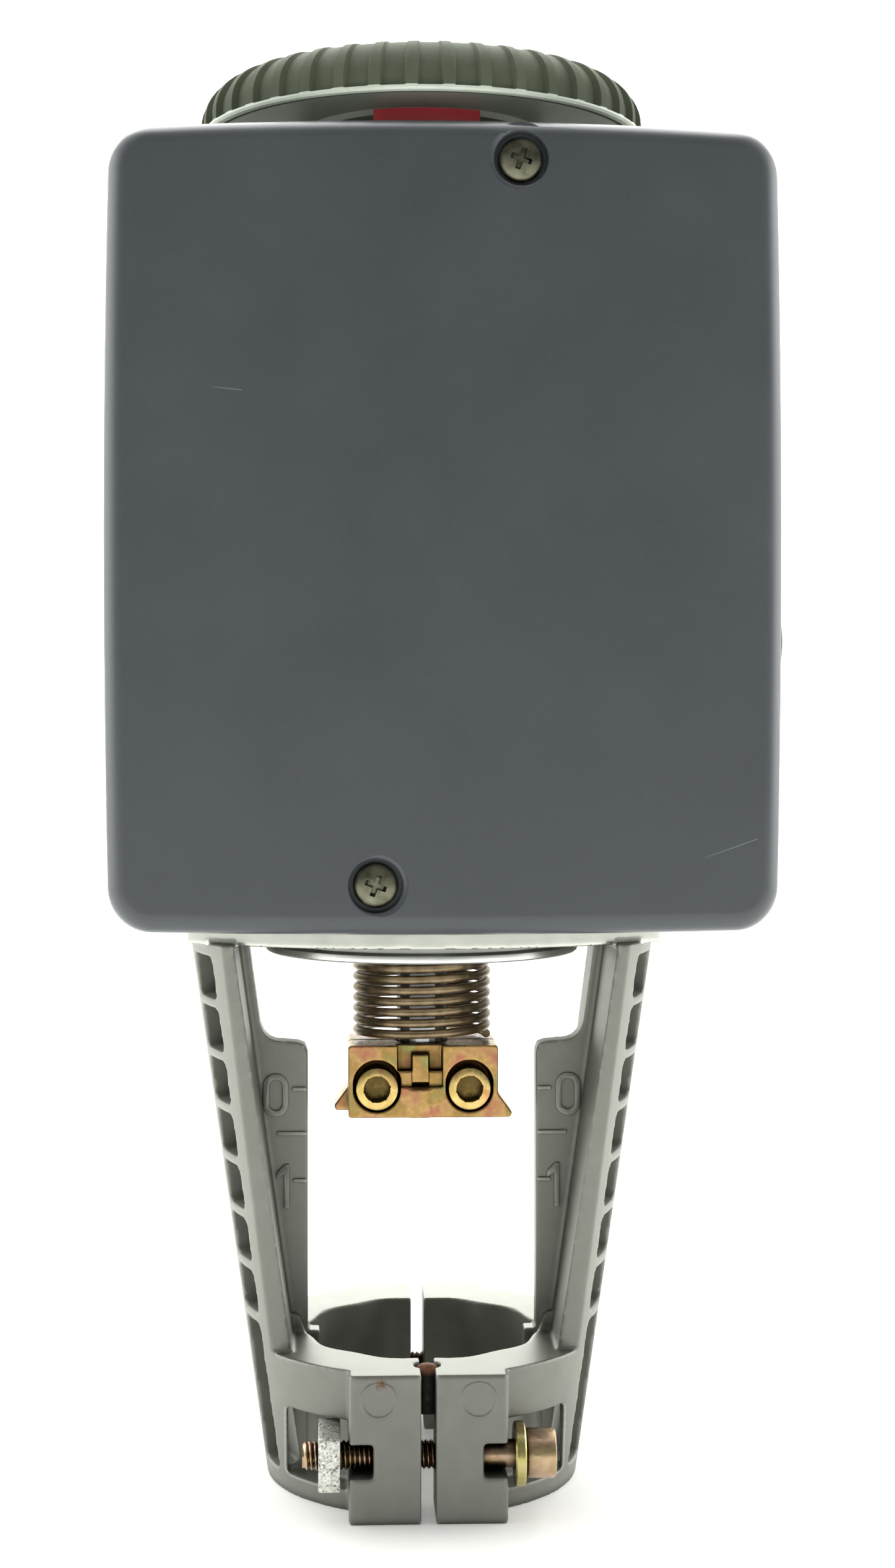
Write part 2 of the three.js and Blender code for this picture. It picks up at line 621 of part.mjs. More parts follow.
// Plan of the cover, bowed in front with its two front edges cut back.
function coverPlan(inset) {
  const edge = BOX_HALF + 1 - inset;
  const steps = 8;
  const outline = [[BOX_MID + edge, 0], [BOX_MID - edge, 0]];
  const easing = 4;
  outline.push([BOX_MID - edge, frontAt(BOX_MID - edge) + inset + easing]);
  for (let k = 0; k <= steps; k += 1) {
    const x = BOX_MID + (edge - easing) * (2 * k / steps - 1);
    outline.push([x, frontAt(x) + inset]);
  }
  outline.push([BOX_MID + edge, frontAt(BOX_MID + edge) + inset + easing]);
  return polygon(outline);
}

const COVER_SCREWS = { top: [18, 276], bottom: [-11, 131] };

function coverSolid(inset) {
  return common(
    extrude(boxOutline(inset), 'y', COVER_FRONT - 1, COVER_BACK + 1, 3),
    extrude(coverPlan(inset), 'z', BOX_FLOOR - 1, BOX_TOP + 1));
}

const SEAT_DEPTH = 3.4;
const seatFloor = (at) => frontAt(at[0]) + SEAT_DEPTH;

function frontCover() {
  const screws = Object.values(COVER_SCREWS);
  const shell = cut(coverSolid(0), coverSolid(COVER_WALL));
  const boss = (at) => common(
    coverSolid(1), rod('y', 7.4, COVER_FRONT - 1, seatFloor(at) + 2.2, at, 20));
  const behind = box(-100, 100, COVER_BACK, 10, BOX_FLOOR - 1, BOX_TOP + 1);
  return cut(
    join(shell, ...screws.map(boss)), behind,
    ...screws.map((at) => rod('y', 5.4, COVER_FRONT - 2, seatFloor(at), at, 24)),
    ...screws.map((at) => rod('y', 2.7, COVER_FRONT, COVER_BACK, at, 12)));
}

function coverScrew(at, tip) {
  const seat = seatFloor(at) - GAP;
  const [x, z] = at;
  const body = join(
    rod('y', 4.5, seat - 1.9, seat, at, 24), rod('y', 3.4, seat - 2.5, seat - 1.8, at, 24),
    rod('y', 2.2, seat - 0.1, tip, at, 12));
  return cut(
    body, box(x - 2.6, x + 2.6, seat - 4, seat - 1.2, z - 0.5, z + 0.5),
    box(x - 0.5, x + 0.5, seat - 4, seat - 1.2, z - 2.6, z + 2.6));
}

function coverGasket() {
  const hole = boxOutline(HOUSING_WALL);
  const outline = boxOutline(HOUSING_INSET + 0.4);
  return cut(
    extrude(outline, 'y', COVER_BACK + GAP, HOUSING_FRONT - GAP, 3),
    extrude(hole, 'y', COVER_BACK, HOUSING_FRONT, 3));
}

const BOARD_SCREWS = [[-57, 148], [-57, 254], [63, 148], [63, 254]];
const BOARD_BACK = -32.5;
const BOARD_THICK = 1.6;

const GLAND_AT = [10, 181.4];
const PLUG_AT = [10, 153.7];

// Die-cast box behind the cover, with its neck for the knob and lugs for the board.
function rearHousing() {
  const rearBevel = 7;
  const slabStart = -50;
  const slab = (back, inset, bevel) => {
    const geometry = new THREE.ExtrudeGeometry(boxOutline(inset), {
      depth: back - bevel - slabStart, bevelEnabled: true, bevelSize: bevel,
      bevelThickness: bevel, bevelOffset: -bevel, bevelSegments: 1, curveSegments: 3,
    });
    geometry.translate(0, 0, slabStart);
    const [u, v, w] = AXES.y.map((d) => new THREE.Vector3(...d));
    geometry.applyMatrix4(new THREE.Matrix4().makeBasis(u, v, w));
    return closed(geometry);
  };
  const wide = [-100, 110];
  const outer = cut(
    slab(HOUSING_BACK, HOUSING_INSET, rearBevel),
    box(...wide, -80, HOUSING_FRONT, 100, 300));
  const inner = slab(
    HOUSING_BACK - HOUSING_WALL, HOUSING_INSET + HOUSING_WALL, rearBevel - HOUSING_WALL);
  const neck = ring(26.6, 30.2, BOX_TOP - 2, 287, 28);
  const [lowX, lowZ] = COVER_SCREWS.bottom;
  const [highX, highZ] = COVER_SCREWS.top;
  const screwLugs = [
    box(lowX - 8, lowX + 8, HOUSING_FRONT, -29.8, BOX_FLOOR + 2, lowZ + 6),
    box(highX - 6, highX + 6, HOUSING_FRONT, -18, highZ - 6, BOX_TOP - 2),
    ...BOARD_SCREWS.map(([x, z]) => {
      const toWall = x < 0 ? [x - 9.2, x + 5] : [x - 5, x + 9.2];
      return box(...toWall, HOUSING_FRONT, -26, z - 5, z + 5);
    }),
  ];
  return cut(
    join(cut(outer, inner), neck, ...screwLugs),
    rod('z', POT_RADIUS + 0.6, 120, 126, [0, 0], 28),
    rod('z', 12, 280, 290, [0, 0], 24),
    rod('z', 26.6, BOX_TOP - 0.8, 290, [0, 0], 28),
    ...BASE_SCREWS.map((at) => rod('z', 2.8, 120, 126, at, 12)),
    ...Object.values(COVER_SCREWS).map((at) => rod('y', 2.6, -34, -20, at, 12)),
    ...[GLAND_AT, PLUG_AT].map((at) => rod('x', 4.5, 60, 80, at, 16)));
}

function cableEntry(at, flange, tipRadius) {
  const wallOut = BOX_MID + BOX_HALF + 0.7;
  return join(
    extrude(hexagon(flange * 1.8, at), 'x', wallOut, wallOut + 4.5),
    rod('x', tipRadius, wallOut + 4, wallOut + 8.4, at, 20),
    rod('x', 4.2, wallOut - 5, wallOut + 0.5, at, 14));
}

add('front_cover', coverPlastic, frontCover());
add('cover_gasket', rubber, coverGasket());
add('rear_housing', castAluminium, rearHousing());
add('cover_screw_top', steel, coverScrew(COVER_SCREWS.top, -21));
add('cover_screw_bottom', steel, coverScrew(COVER_SCREWS.bottom, -30));
add('cable_gland', blackPlastic, cableEntry(GLAND_AT, 10, 7.5));
add('cable_plug', blackPlastic, cableEntry(PLUG_AT, 5.4, 4));

BASE_SCREWS.forEach((at, k) => {
  add(`base_screw_${['left', 'right'][k]}`, steel, turned(
    [[0, 117], [2.4, 117], [2.4, 124.9], [4.5, 124.9], [4.5, 128.5], [0, 128.5]], 14, at));
});

// ---- hydraulic block with its pump and bypass valve ----
const PUMP_AT = [-20, 66];
const VALVE_AT = [28, 66];
const BLOCK_TOP = 145;

function hydraulicBlock() {
  const block = join(
    box(-42, 48, 38, 92, 124.9, BLOCK_TOP),
    rod('z', 12, BLOCK_TOP - 1, 165, PUMP_AT, 24), rod('z', 9, BLOCK_TOP - 1, 158, VALVE_AT, 20));
  return cut(
    block, rod('z', 4.3, 150, 166, PUMP_AT, 16), rod('z', 3.3, 148, 159, VALVE_AT, 14),
    rod('z', 5, 130, 148, [5, 52], 12), rod('z', 5, 130, 148, [5, 80], 12));
}

add('hydraulic_block', machinedAluminium, hydraulicBlock());
add('pump_plunger', steel, turned([
  [0, 151], [4, 151], [4, 177], [11.5, 177], [11.5, 189], [0, 189]], 20, PUMP_AT));
add('pump_coil', copperWinding, ring(12.2, 21, 168, 204, 20, PUMP_AT));
add('pump_core', steel, turned([
  [0, 193.5], [11.7, 193.5], [11.7, 204.3], [21, 204.3], [21, 210], [0, 210]], 20, PUMP_AT));
add('valve_plunger', steel, turned([
  [0, 149], [3, 149], [3, 162], [6, 162], [6, 178], [0, 178]], 16, VALVE_AT));
add('valve_coil', blackPlastic, cut(
  box(13, 43, 51, 81, 158.3, 194), rod('z', 6.4, 157, 184, VALVE_AT, 20)));

// ---- electronics behind the cover ----
function controlBoard() {
  const board = box(-61, 67, BOARD_BACK - BOARD_THICK, BOARD_BACK, 142, 260);
  return cut(board, ...BOARD_SCREWS.map((at) => rod('y', 1.7, -40, -30, at, 10)));
}

function terminalBlock(x0, x1, ways) {
  const face = -43.4;
  const back = BOARD_BACK - BOARD_THICK - GAP;
  const pitch = (x1 - x0) / ways;
  const holes = [];
  for (let k = 0; k < ways; k += 1) {
    holes.push(rod('y', 1.8, face - 1, face + 5, [x0 + (k + 0.5) * pitch, 162], 8));
  }
  return cut(box(x0, x1, face, back, 152, 168), ...holes);
}

const DIP_FACE = -38.4;
const DIP_SLOTS = [[-8, 232], [-8, 236]];
const SLIDER_TRAVEL = 2;

function dipSwitch() {
  const body = box(-14, 2, DIP_FACE, BOARD_BACK - BOARD_THICK - GAP, 229, 239);
  return cut(body, ...DIP_SLOTS.map(([x, z]) => box(
    x - 1.3, x + 1.3 + SLIDER_TRAVEL, DIP_FACE - 1, DIP_FACE + 2.4, z - 1.2, z + 1.2)));
}

add('control_board', boardGreen, controlBoard());
add('terminal_block_left', terminalGrey, terminalBlock(-45, -8, 5));
add('terminal_block_right', terminalGrey, terminalBlock(8, 45, 5));
add('dip_switch', redPlastic, dipSwitch());
DIP_SLOTS.forEach(([x, z], k) => {
  add(`dip_slider_${k + 1}`, terminalGrey, box(
    x - 1, x + 1, DIP_FACE - 0.6, DIP_FACE + 2, z - 0.9, z + 0.9));
});

export default actuator;
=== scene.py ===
"""Looks of a valve actuator head: cast bracket, sprung stem, bowed cover and ribbed hand knob.

Shapes are drawn in millimetres, +Z up, valve axis at X = Y = 0, and scaled to metres when placed.
"""
import math

import bmesh
import bpy
from mathutils import Matrix, Vector


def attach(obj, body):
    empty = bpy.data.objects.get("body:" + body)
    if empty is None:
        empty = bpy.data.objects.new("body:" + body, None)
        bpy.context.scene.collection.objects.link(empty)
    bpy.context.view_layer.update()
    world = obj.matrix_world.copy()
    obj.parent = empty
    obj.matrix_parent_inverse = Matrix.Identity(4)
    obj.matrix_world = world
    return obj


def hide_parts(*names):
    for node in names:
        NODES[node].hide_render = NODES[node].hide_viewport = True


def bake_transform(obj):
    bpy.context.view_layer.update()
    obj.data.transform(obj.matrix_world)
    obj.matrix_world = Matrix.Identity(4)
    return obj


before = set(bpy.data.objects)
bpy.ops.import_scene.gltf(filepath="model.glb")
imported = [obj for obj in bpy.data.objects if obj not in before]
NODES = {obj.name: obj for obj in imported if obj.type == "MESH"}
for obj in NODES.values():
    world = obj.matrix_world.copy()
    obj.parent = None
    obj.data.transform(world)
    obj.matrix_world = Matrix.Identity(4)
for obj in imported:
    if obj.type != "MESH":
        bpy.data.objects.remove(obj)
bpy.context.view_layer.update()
MM = 0.001

# Bracket casting
CONE_FOOT, CONE_HEAD = 33.8, 50.5
RING_TOP, LEG_TOP, PLATE_TOP = 30.4, 116.6, 120.7
PLATE_BOW, PLATE_BOW_MID = 85.5, 51.4
BOLT_OUT, BOLT_UP = 33.5, 12.8
LUG_FRONT, LUG_SIDE = 39.0, 16.3
PIN_AT = (0, -30.5)
BASE_SCREWS = ((-43, 8), (43, 8))
MARK_FRONT, MARK_BACK = -3.5, -2.6

# Stem coupling
JAW_FOOT, JAW_TOP = 78.0, 93.6
CAPSCREWS = {"left": (-10, 84.3), "right": (10, 84.3)}

# Housing
BOX_MID, BOX_HALF, BOX_CORNER = 3.2, 68.4, 9.0
BOX_FLOOR, BOX_TOP = 121.0, 284.0
COVER_BACK, HOUSING_FRONT, HOUSING_BACK = -33.8, -32.2, 104.0
COVER_SCREWS = {"top": (18.0, 276.0), "bottom": (-11.0, 131.0)}
SEAT_DEPTH = 3.4
CABLE_HOLES = {"gland": (10, 181.4), "plug": (10, 153.7)}
NECK_BORE = 26.6

# Knob
KNOB_RADIUS, KNOB_FOOT, KNOB_TOP = 48.3, 290.0, 302.4
KNOB_RIBS, GROOVE_DEPTH = 40, 1.3
CRANK_HINGE, CRANK_FOOT = (40, 297.3), 294.9
GRIP_AT = (0, -15)


# ---- shapes ----
def make_piece(points, faces):
    """A closed mesh in millimetres, its faces turned outwards; `place` names it."""
    mesh = bpy.data.meshes.new("shape")
    mesh.from_pydata([tuple(p) for p in points], [], faces)
    shape = bmesh.new()
    shape.from_mesh(mesh)
    bmesh.ops.remove_doubles(shape, verts=shape.verts, dist=1e-4)
    bmesh.ops.dissolve_degenerate(shape, edges=shape.edges, dist=1e-5)
    bmesh.ops.recalc_face_normals(shape, faces=shape.faces)
    shape.to_mesh(mesh)
    shape.free()
    piece = bpy.data.objects.new("shape", mesh)
    bpy.context.scene.collection.objects.link(piece)
    return piece


def skin(rings, looped=False):
    """A skin over closed rings of points, capped at both ends unless the rings close on themselves."""
    count = len(rings[0])
    points = [p for ring in rings for p in ring]
    faces = []
    for k in range(len(rings) if looped else len(rings) - 1):
        a = k * count
        b = (k + 1) % len(rings) * count
        for i in range(count):
            j = (i + 1) % count
            faces.append((a + i, a + j, b + j, b + i))
    if not looped:
        faces.append(tuple(range(count)))
        faces.append(tuple(range(len(points) - count, len(points))))
    return make_piece(points, faces)


def along(axis, u, v, w):
    """Point with u and v across `axis`, in X, Y, Z order, and w along it."""
    return {"x": (w, u, v), "y": (u, w, v), "z": (u, v, w)}[axis]


def prism(outline, axis, low, high):
    """Outline drawn out along an axis."""
    return skin([[along(axis, u, v, w) for u, v in outline] for w in (low, high)])


def turned(profile, steps=96, axis="z", at=(0.0, 0.0)):
    """Closed (radius, height) profile turned about an axis through `at`."""
    rings = []
    for k in range(steps):
        turn = 2 * math.pi * k / steps
        rings.append([
            along(axis, at[0] + r * math.cos(turn), at[1] + r * math.sin(turn), h)
            for r, h in profile])
    return skin(rings, looped=True)


def oblong(x0, x1, y0, y1):
    return [(x0, y0), (x1, y0), (x1, y1), (x0, y1)]


def block(x0, x1, y0, y1, z0, z1):
    return prism(oblong(x0, x1, y0, y1), "z", z0, z1)


def drill(axis, radius, low, high, at=(0.0, 0.0), steps=48):
    """Round tool, also used as a plain boss."""
    return turned([(0, low), (radius, low), (radius, high), (0, high)], steps, axis, at)


def rounded(points, radius, steps=5):
    """Polygon with every corner rounded."""
    outline = []
    count = len(points)
    for i in range(count):
        before, here, after = (Vector(points[(i + k) % count]) for k in (-1, 0, 1))
        a = (before - here).normalized()
        b = (after - here).normalized()
        half = a.angle(b) / 2
        reach = min(radius / math.tan(half), 0.49 * (before - here).length,
                    0.49 * (after - here).length)
        fillet = reach * math.tan(half)
        centre = here + (a + b).normalized() * (fillet / math.sin(half))
        start = here + a * reach - centre
        end = here + b * reach - centre
        sweep = start.angle_signed(end)
        for k in range(steps + 1):
            p = start.copy()
            p.rotate(Matrix.Rotation(-sweep * k / steps, 2))
            outline.append(tuple(centre + p))
    return outline


def hexagon(across, at=(0.0, 0.0), start=0.0):
    corner = across / math.sqrt(3)
    return [(at[0] + corner * math.cos(start + k * math.pi / 3),
             at[1] + corner * math.sin(start + k * math.pi / 3)) for k in range(6)]


def settled(piece):
    """The piece with its modifiers worked into the mesh."""
    graph = bpy.context.evaluated_depsgraph_get()
    mesh = bpy.data.meshes.new_from_object(piece.evaluated_get(graph))
    piece.modifiers.clear()
    piece.data = mesh
    return piece


def combined(operation, body, tools):
    for tool in tools:
        step = body.modifiers.new("step", "BOOLEAN")
        step.operation = operation
        step.solver = "MANIFOLD"
        step.object = tool
        before = len(body.data.polygons)
        settled(body)
        if len(body.data.polygons) in (0, before):
            print("check this cut:", body.name, before, len(body.data.polygons))
        bpy.data.objects.remove(tool)
    return body


def cut(body, *tools):
    return combined("DIFFERENCE", body, tools)


def joined(body, *more):
    return combined("UNION", body, more)


def half_turn(piece):
    """Copy of a piece turned half way round the valve axis."""
    other = piece.copy()
    other.data = piece.data.copy()
    other.data.transform(Matrix.Rotation(math.pi, 4, "Z"))
    bpy.context.scene.collection.objects.link(other)
    return other


def softened(piece, grain, passes):
    """The piece cast afresh in even small faces, its edges worn round."""
    cast = piece.modifiers.new("cast", "REMESH")
    cast.mode = "VOXEL"
    cast.voxel_size = grain
    smooth = piece.modifiers.new("smooth", "SMOOTH")
    smooth.factor = 0.5
    smooth.iterations = passes
    return settled(piece)


def eased(piece, width, steps=2, angle=32):
    """Edges sharper than an angle rounded off."""
    bevel = piece.modifiers.new("ease", "BEVEL")
    bevel.width = width
    bevel.segments = steps
    bevel.limit_method = "ANGLE"
    bevel.angle_limit = math.radians(angle)
    bevel.harden_normals = False
    return settled(piece)


def place(piece, name, body, material, node, crease=36, flat=False):
    """Scales a finished piece to metres, gives it its body and finish, and hides the CAD node it replaces;
    `flat` keeps large faces evenly shaded up to their rounded edges."""
    piece.name = name
    piece.data.name = name
    piece.data.transform(Matrix.Scale(MM, 4))
    piece.data.materials.clear()
    for m in material if isinstance(material, list) else [material]:
        piece.data.materials.append(m)
    for face in piece.data.polygons:
        face.use_smooth = True
    piece.data.set_sharp_from_angle(angle=math.radians(crease))
    if flat:
        piece.modifiers.new("even", "WEIGHTED_NORMAL").keep_sharp = True
        settled(piece)
    if body:
        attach(piece, body)
    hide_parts(node)


# ---- finishes ----
def linear(text):
    """sRGB hex to a linear colour."""
    channels = [int(text[i:i + 2], 16) / 255 for i in (1, 3, 5)]
    return [c / 12.92 if c <= 0.04045 else ((c + 0.055) / 1.055) ** 2.4 for c in channels] + [1]


def add_node(material, kind, inputs=None, out=0, stops=(), **settings):
    """Adds one shader node and gives one of its outputs. An input is a value, or an output to link;
    `stops` are a colour ramp's (place, hex) pairs. A colour mix has its share at 0, its colours at 6
    and 7. A noise of scale 1 / 5.0 has blotches about 5 mm across."""
    node = material.node_tree.nodes.new("ShaderNode" + kind)
    for key, value in settings.items():
        setattr(node, key, value)
    for key, value in (inputs or {}).items():
        if isinstance(value, bpy.types.NodeSocket):
            material.node_tree.links.new(value, node.inputs[key])
        else:
            node.inputs[key].default_value = value
    if stops:
        elements = node.color_ramp.elements
        while len(elements) < len(stops):
            elements.new(0.5)
        for element, (share, colour) in zip(elements, stops):
            element.position = share
            element.color = linear(colour)
    return node.outputs[out]


# Settings that many nodes share: mixing colours, and the span in which a noise pattern mostly lies
COLOUR_MIX = {"data_type": "RGBA", "out": 2}
NOISE_SPAN = {"From Min": 0.3, "From Max": 0.7}


def new_finish(name, **shader):
    """A material with its shader's own sockets set, and its place on the piece in millimetres."""
    material = bpy.data.materials.new(name)
    material.use_nodes = True
    surface = material.node_tree.nodes["Principled BSDF"]
    for key, value in shader.items():
        surface.inputs[key.replace("_", " ")].default_value = value
    here = add_node(material, "TexCoord", out="Object")
    in_mm = add_node(material, "VectorMath", {0: here, 1: (1000, 1000, 1000)}, operation="MULTIPLY")
    return material, surface, in_mm


def finished(material, surface, **links):
    """The material, its shader's inputs linked to sockets."""
    for key, socket in links.items():
        material.node_tree.links.new(socket, surface.inputs[key.replace("_", " ")])
    return material


def die_cast_aluminium():
    """Pressure die-cast aluminium, blasted: a dull mid-grey skin, finely grained, with painted shade
    darkening its hollows, paler where its edges are handled, and with small rust stains where the steel
    pin has wept on it."""
    m, s, here = new_finish("die_cast_aluminium", Metallic=0.55, Roughness=0.5)
    cloud = add_node(m, "TexNoise", {"Vector": here, "Scale": 1 / 5.0, "Detail": 4.0})
    tone = add_node(m, "ValToRGB", {0: cloud},
                    stops=[(0.25, "#7C7D76"), (0.55, "#82837C"), (0.8, "#898A83")])
    # painted shade: ambient occlusion darkens the hollows towards #4C4D48
    hollow = add_node(m, "AmbientOcclusion", {"Distance": 3.0 * MM}, out="AO", samples=8)
    depth = add_node(m, "MapRange", {"Value": hollow, "From Min": 0.25, "From Max": 0.85})
    tone = add_node(m, "Mix", {0: depth, 6: linear("#4C4D48"), 7: tone}, **COLOUR_MIX)
    edge = add_node(m, "AmbientOcclusion", {"Distance": 0.9 * MM}, out="AO", samples=8, inside=True)
    worn = add_node(m, "MapRange", {"Value": edge, "From Min": 0.5, "From Max": 0.85,
                                    "To Min": 0.6, "To Max": 0.0})
    tone = add_node(m, "Mix", {0: worn, 6: tone, 7: linear("#C3C6BE")}, **COLOUR_MIX)
    stain = add_node(m, "TexNoise", {"Vector": here, "Scale": 1 / 0.9, "Detail": 4.0})
    for at, radius in (((-9.6, -38.4, 28.8), 2.6), ((0.0, -31.0, 30.0), 4.2),
                       ((-11.2, -37.5, 30.2), 1.8)):
        gap = add_node(m, "VectorMath", {0: here, 1: at}, out="Value", operation="DISTANCE")
        near = add_node(m, "MapRange", {"Value": gap, "From Max": radius, "To Min": 1.0, "To Max": 0.0})
        patchy = add_node(m, "Math", {0: near, 1: stain}, operation="MULTIPLY")
        rust = add_node(m, "MapRange", {"Value": patchy, "From Min": 0.2, "From Max": 0.42,
                                        "To Max": 0.85})
        tone = add_node(m, "Mix", {0: rust, 6: tone, 7: linear("#6E4526")}, **COLOUR_MIX)
    gloss = add_node(m, "MapRange", {"Value": cloud, "To Min": 0.46, "To Max": 0.52, **NOISE_SPAN})
    grit = add_node(m, "TexNoise", {"Vector": here, "Scale": 1 / 0.55, "Detail": 3.0})
    relief = add_node(m, "Bump", {"Height": grit, "Distance": 0.05 * MM, "Strength": 0.5})
    return finished(m, s, Base_Color=tone, Roughness=gloss, Normal=relief)


def turned_aluminium(name, colour, roughness, ring_gap=0.35):
    """Machined aluminium: bright, with the fine rings that the lathe tool leaves."""
    m, s, here = new_finish(name, Metallic=1.0, Roughness=roughness)
    cloud = add_node(m, "TexNoise", {"Vector": here, "Scale": 1 / 6.0, "Detail": 3.0})
    dull = add_node(m, "MapRange", {"Value": cloud, "To Max": 0.3, **NOISE_SPAN})
    tone = add_node(m, "Mix", {0: dull, 6: linear(colour), 7: linear("#8E918C")}, **COLOUR_MIX)
    drawn_out = add_node(m, "VectorMath", {0: here, 1: (0.05, 0.05, 1.0)}, operation="MULTIPLY")
    lines = add_node(m, "TexNoise", {"Vector": drawn_out, "Scale": 1 / ring_gap, "Detail": 2.0})
    relief = add_node(m, "Bump", {"Height": lines, "Distance": 0.012 * MM, "Strength": 0.5})
    return finished(m, s, Base_Color=tone, Normal=relief)


def yellow_zinc(name, *tones):
    """Yellow-chromated zinc plate: gold that runs to pink and green where the film is thicker, and
    brown where it is shaded."""
    m, s, here = new_finish(name, Metallic=1.0, Roughness=0.3)
    film = add_node(m, "TexNoise", {"Vector": here, "Scale": 1 / 5.5, "Detail": 2.0})
    tone = add_node(m, "ValToRGB", {0: film}, stops=list(zip((0.26, 0.42, 0.54, 0.66, 0.8), tones)))
    hollow = add_node(m, "AmbientOcclusion", {"Distance": 5.0 * MM}, out="AO", samples=8)
    depth = add_node(m, "MapRange", {"Value": hollow, "From Min": 0.3, "From Max": 0.85})
    tone = add_node(m, "Mix", {0: depth, 6: linear("#33220F"), 7: tone}, **COLOUR_MIX)
    smear = add_node(m, "TexNoise", {"Vector": here, "Scale": 1 / 1.1, "Detail": 3.0})
    gloss = add_node(m, "MapRange", {"Value": smear, "To Min": 0.22, "To Max": 0.42, **NOISE_SPAN})
    grain = add_node(m, "TexNoise", {"Vector": here, "Scale": 1 / 0.5, "Detail": 2.0})
    relief = add_node(m, "Bump", {"Height": grain, "Distance": 0.02 * MM, "Strength": 0.35})
    return finished(m, s, Base_Color=tone, Roughness=gloss, Normal=relief)


def spangled_zinc():
    """Hot-dipped zinc on the square nuts: white metal in spangles half a millimetre across, with fine
    dark pits."""
    m, s, here = new_finish("spangled_zinc", Metallic=0.75, Roughness=0.42)
    gap = add_node(m, "TexVoronoi", {"Vector": here, "Scale": 1.9}, out="Distance")
    tone = add_node(m, "ValToRGB", {0: gap.node.outputs["Color"]},
                    stops=[(0.15, "#BFC0B8"), (0.5, "#DADBD3"), (0.85, "#F2F2EC")])
    specks = add_node(m, "TexNoise", {"Vector": here, "Scale": 1 / 0.5, "Detail": 3.0})
    pits = add_node(m, "MapRange", {"Value": specks, "From Min": 0.36, "From Max": 0.44,
                                    "To Min": 0.85, "To Max": 0.0})
    tone = add_node(m, "Mix", {0: pits, 6: tone, 7: linear("#4A4B47")}, **COLOUR_MIX)
    gloss = add_node(m, "MapRange", {"Value": gap, "From Max": 0.8, "To Min": 0.3, "To Max": 0.55})
    relief = add_node(m, "Bump", {"Height": gap, "Distance": 0.06 * MM, "Strength": 0.5})
    return finished(m, s, Base_Color=tone, Roughness=gloss, Normal=relief)


def filmed_metal(name, low, high, stops, cloudy=(2.4, 4.0), grainy=(0.5, 3.0), depth=0.02):
    """Metal under a thin uneven film that runs between tones, and from one roughness to another;
    `cloudy` and `grainy` are the size in millimetres and the detail of its blotches and its grain."""
    m, s, here = new_finish(name, Metallic=1.0, Roughness=(low + high) / 2)
    cloud = add_node(m, "TexNoise", {"Vector": here, "Scale": 1 / cloudy[0], "Detail": cloudy[1]})
    tone = add_node(m, "ValToRGB", {0: cloud}, stops=stops)
    gloss = add_node(m, "MapRange", {"Value": cloud, "To Min": low, "To Max": high, **NOISE_SPAN})
    grain = add_node(m, "TexNoise", {"Vector": here, "Scale": 1 / grainy[0], "Detail": grainy[1]})
    relief = add_node(m, "Bump", {"Height": grain, "Distance": depth * MM, "Strength": 0.4})
    return finished(m, s, Base_Color=tone, Roughness=gloss, Normal=relief)


def weathered_pin():
    """Steel pin, black with old grease down its side and rusted copper-brown on its open top."""
    m, s, here = new_finish("rusted_steel", Metallic=0.4, Roughness=0.6)
    height = add_node(m, "SeparateXYZ", {0: here}, out="Z")
    cloud = add_node(m, "TexNoise", {"Vector": here, "Scale": 1 / 1.2, "Detail": 4.0})
    rust = add_node(m, "ValToRGB", {0: cloud}, stops=[(0.3, "#5E3826"), (0.7, "#A07050")])
    open_top = add_node(m, "MapRange", {"Value": height, "From Min": 28.6, "From Max": 29.6})
    tone = add_node(m, "Mix", {0: open_top, 6: linear("#25221F"), 7: rust}, **COLOUR_MIX)
    gloss = add_node(m, "MapRange", {"Value": cloud, "To Min": 0.45, "To Max": 0.8, **NOISE_SPAN})
    relief = add_node(m, "Bump", {"Height": cloud, "Distance": 0.08 * MM, "Strength": 0.6})
    return finished(m, s, Base_Color=tone, Roughness=gloss, Normal=relief)


def scratch(m, here, start, end, width=0.11):
    """1 along a hairline between two (X, Z) places on the front, 0 beside it, fading at its start."""
    a = Vector((start[0], 0.0, start[1]))
    b = Vector((end[0], 0.0, end[1]))
    run = b - a
    flat = add_node(m, "VectorMath", {0: here, 1: (1, 0, 1)}, operation="MULTIPLY")
    from_a = add_node(m, "VectorMath", {0: flat, 1: a}, operation="SUBTRACT")
    share = add_node(m, "VectorMath", {0: from_a, 1: run / run.length_squared}, out="Value",
                     operation="DOT_PRODUCT")
    held = add_node(m, "Clamp", {"Value": share})
    nearest = add_node(m, "VectorMath", {0: run, "Scale": held}, operation="SCALE")
    gap = add_node(m, "VectorMath", {0: from_a, 1: nearest}, out="Value", operation="DISTANCE")
    line = add_node(m, "MapRange", {"Value": gap, "From Min": width * 0.3, "From Max": width,
                                    "To Min": 1.0, "To Max": 0.0})
    taper = add_node(m, "MapRange", {"Value": held, "From Max": 0.5, "To Min": 0.4})
    return add_node(m, "Math", {0: line, 1: taper}, operation="MULTIPLY")


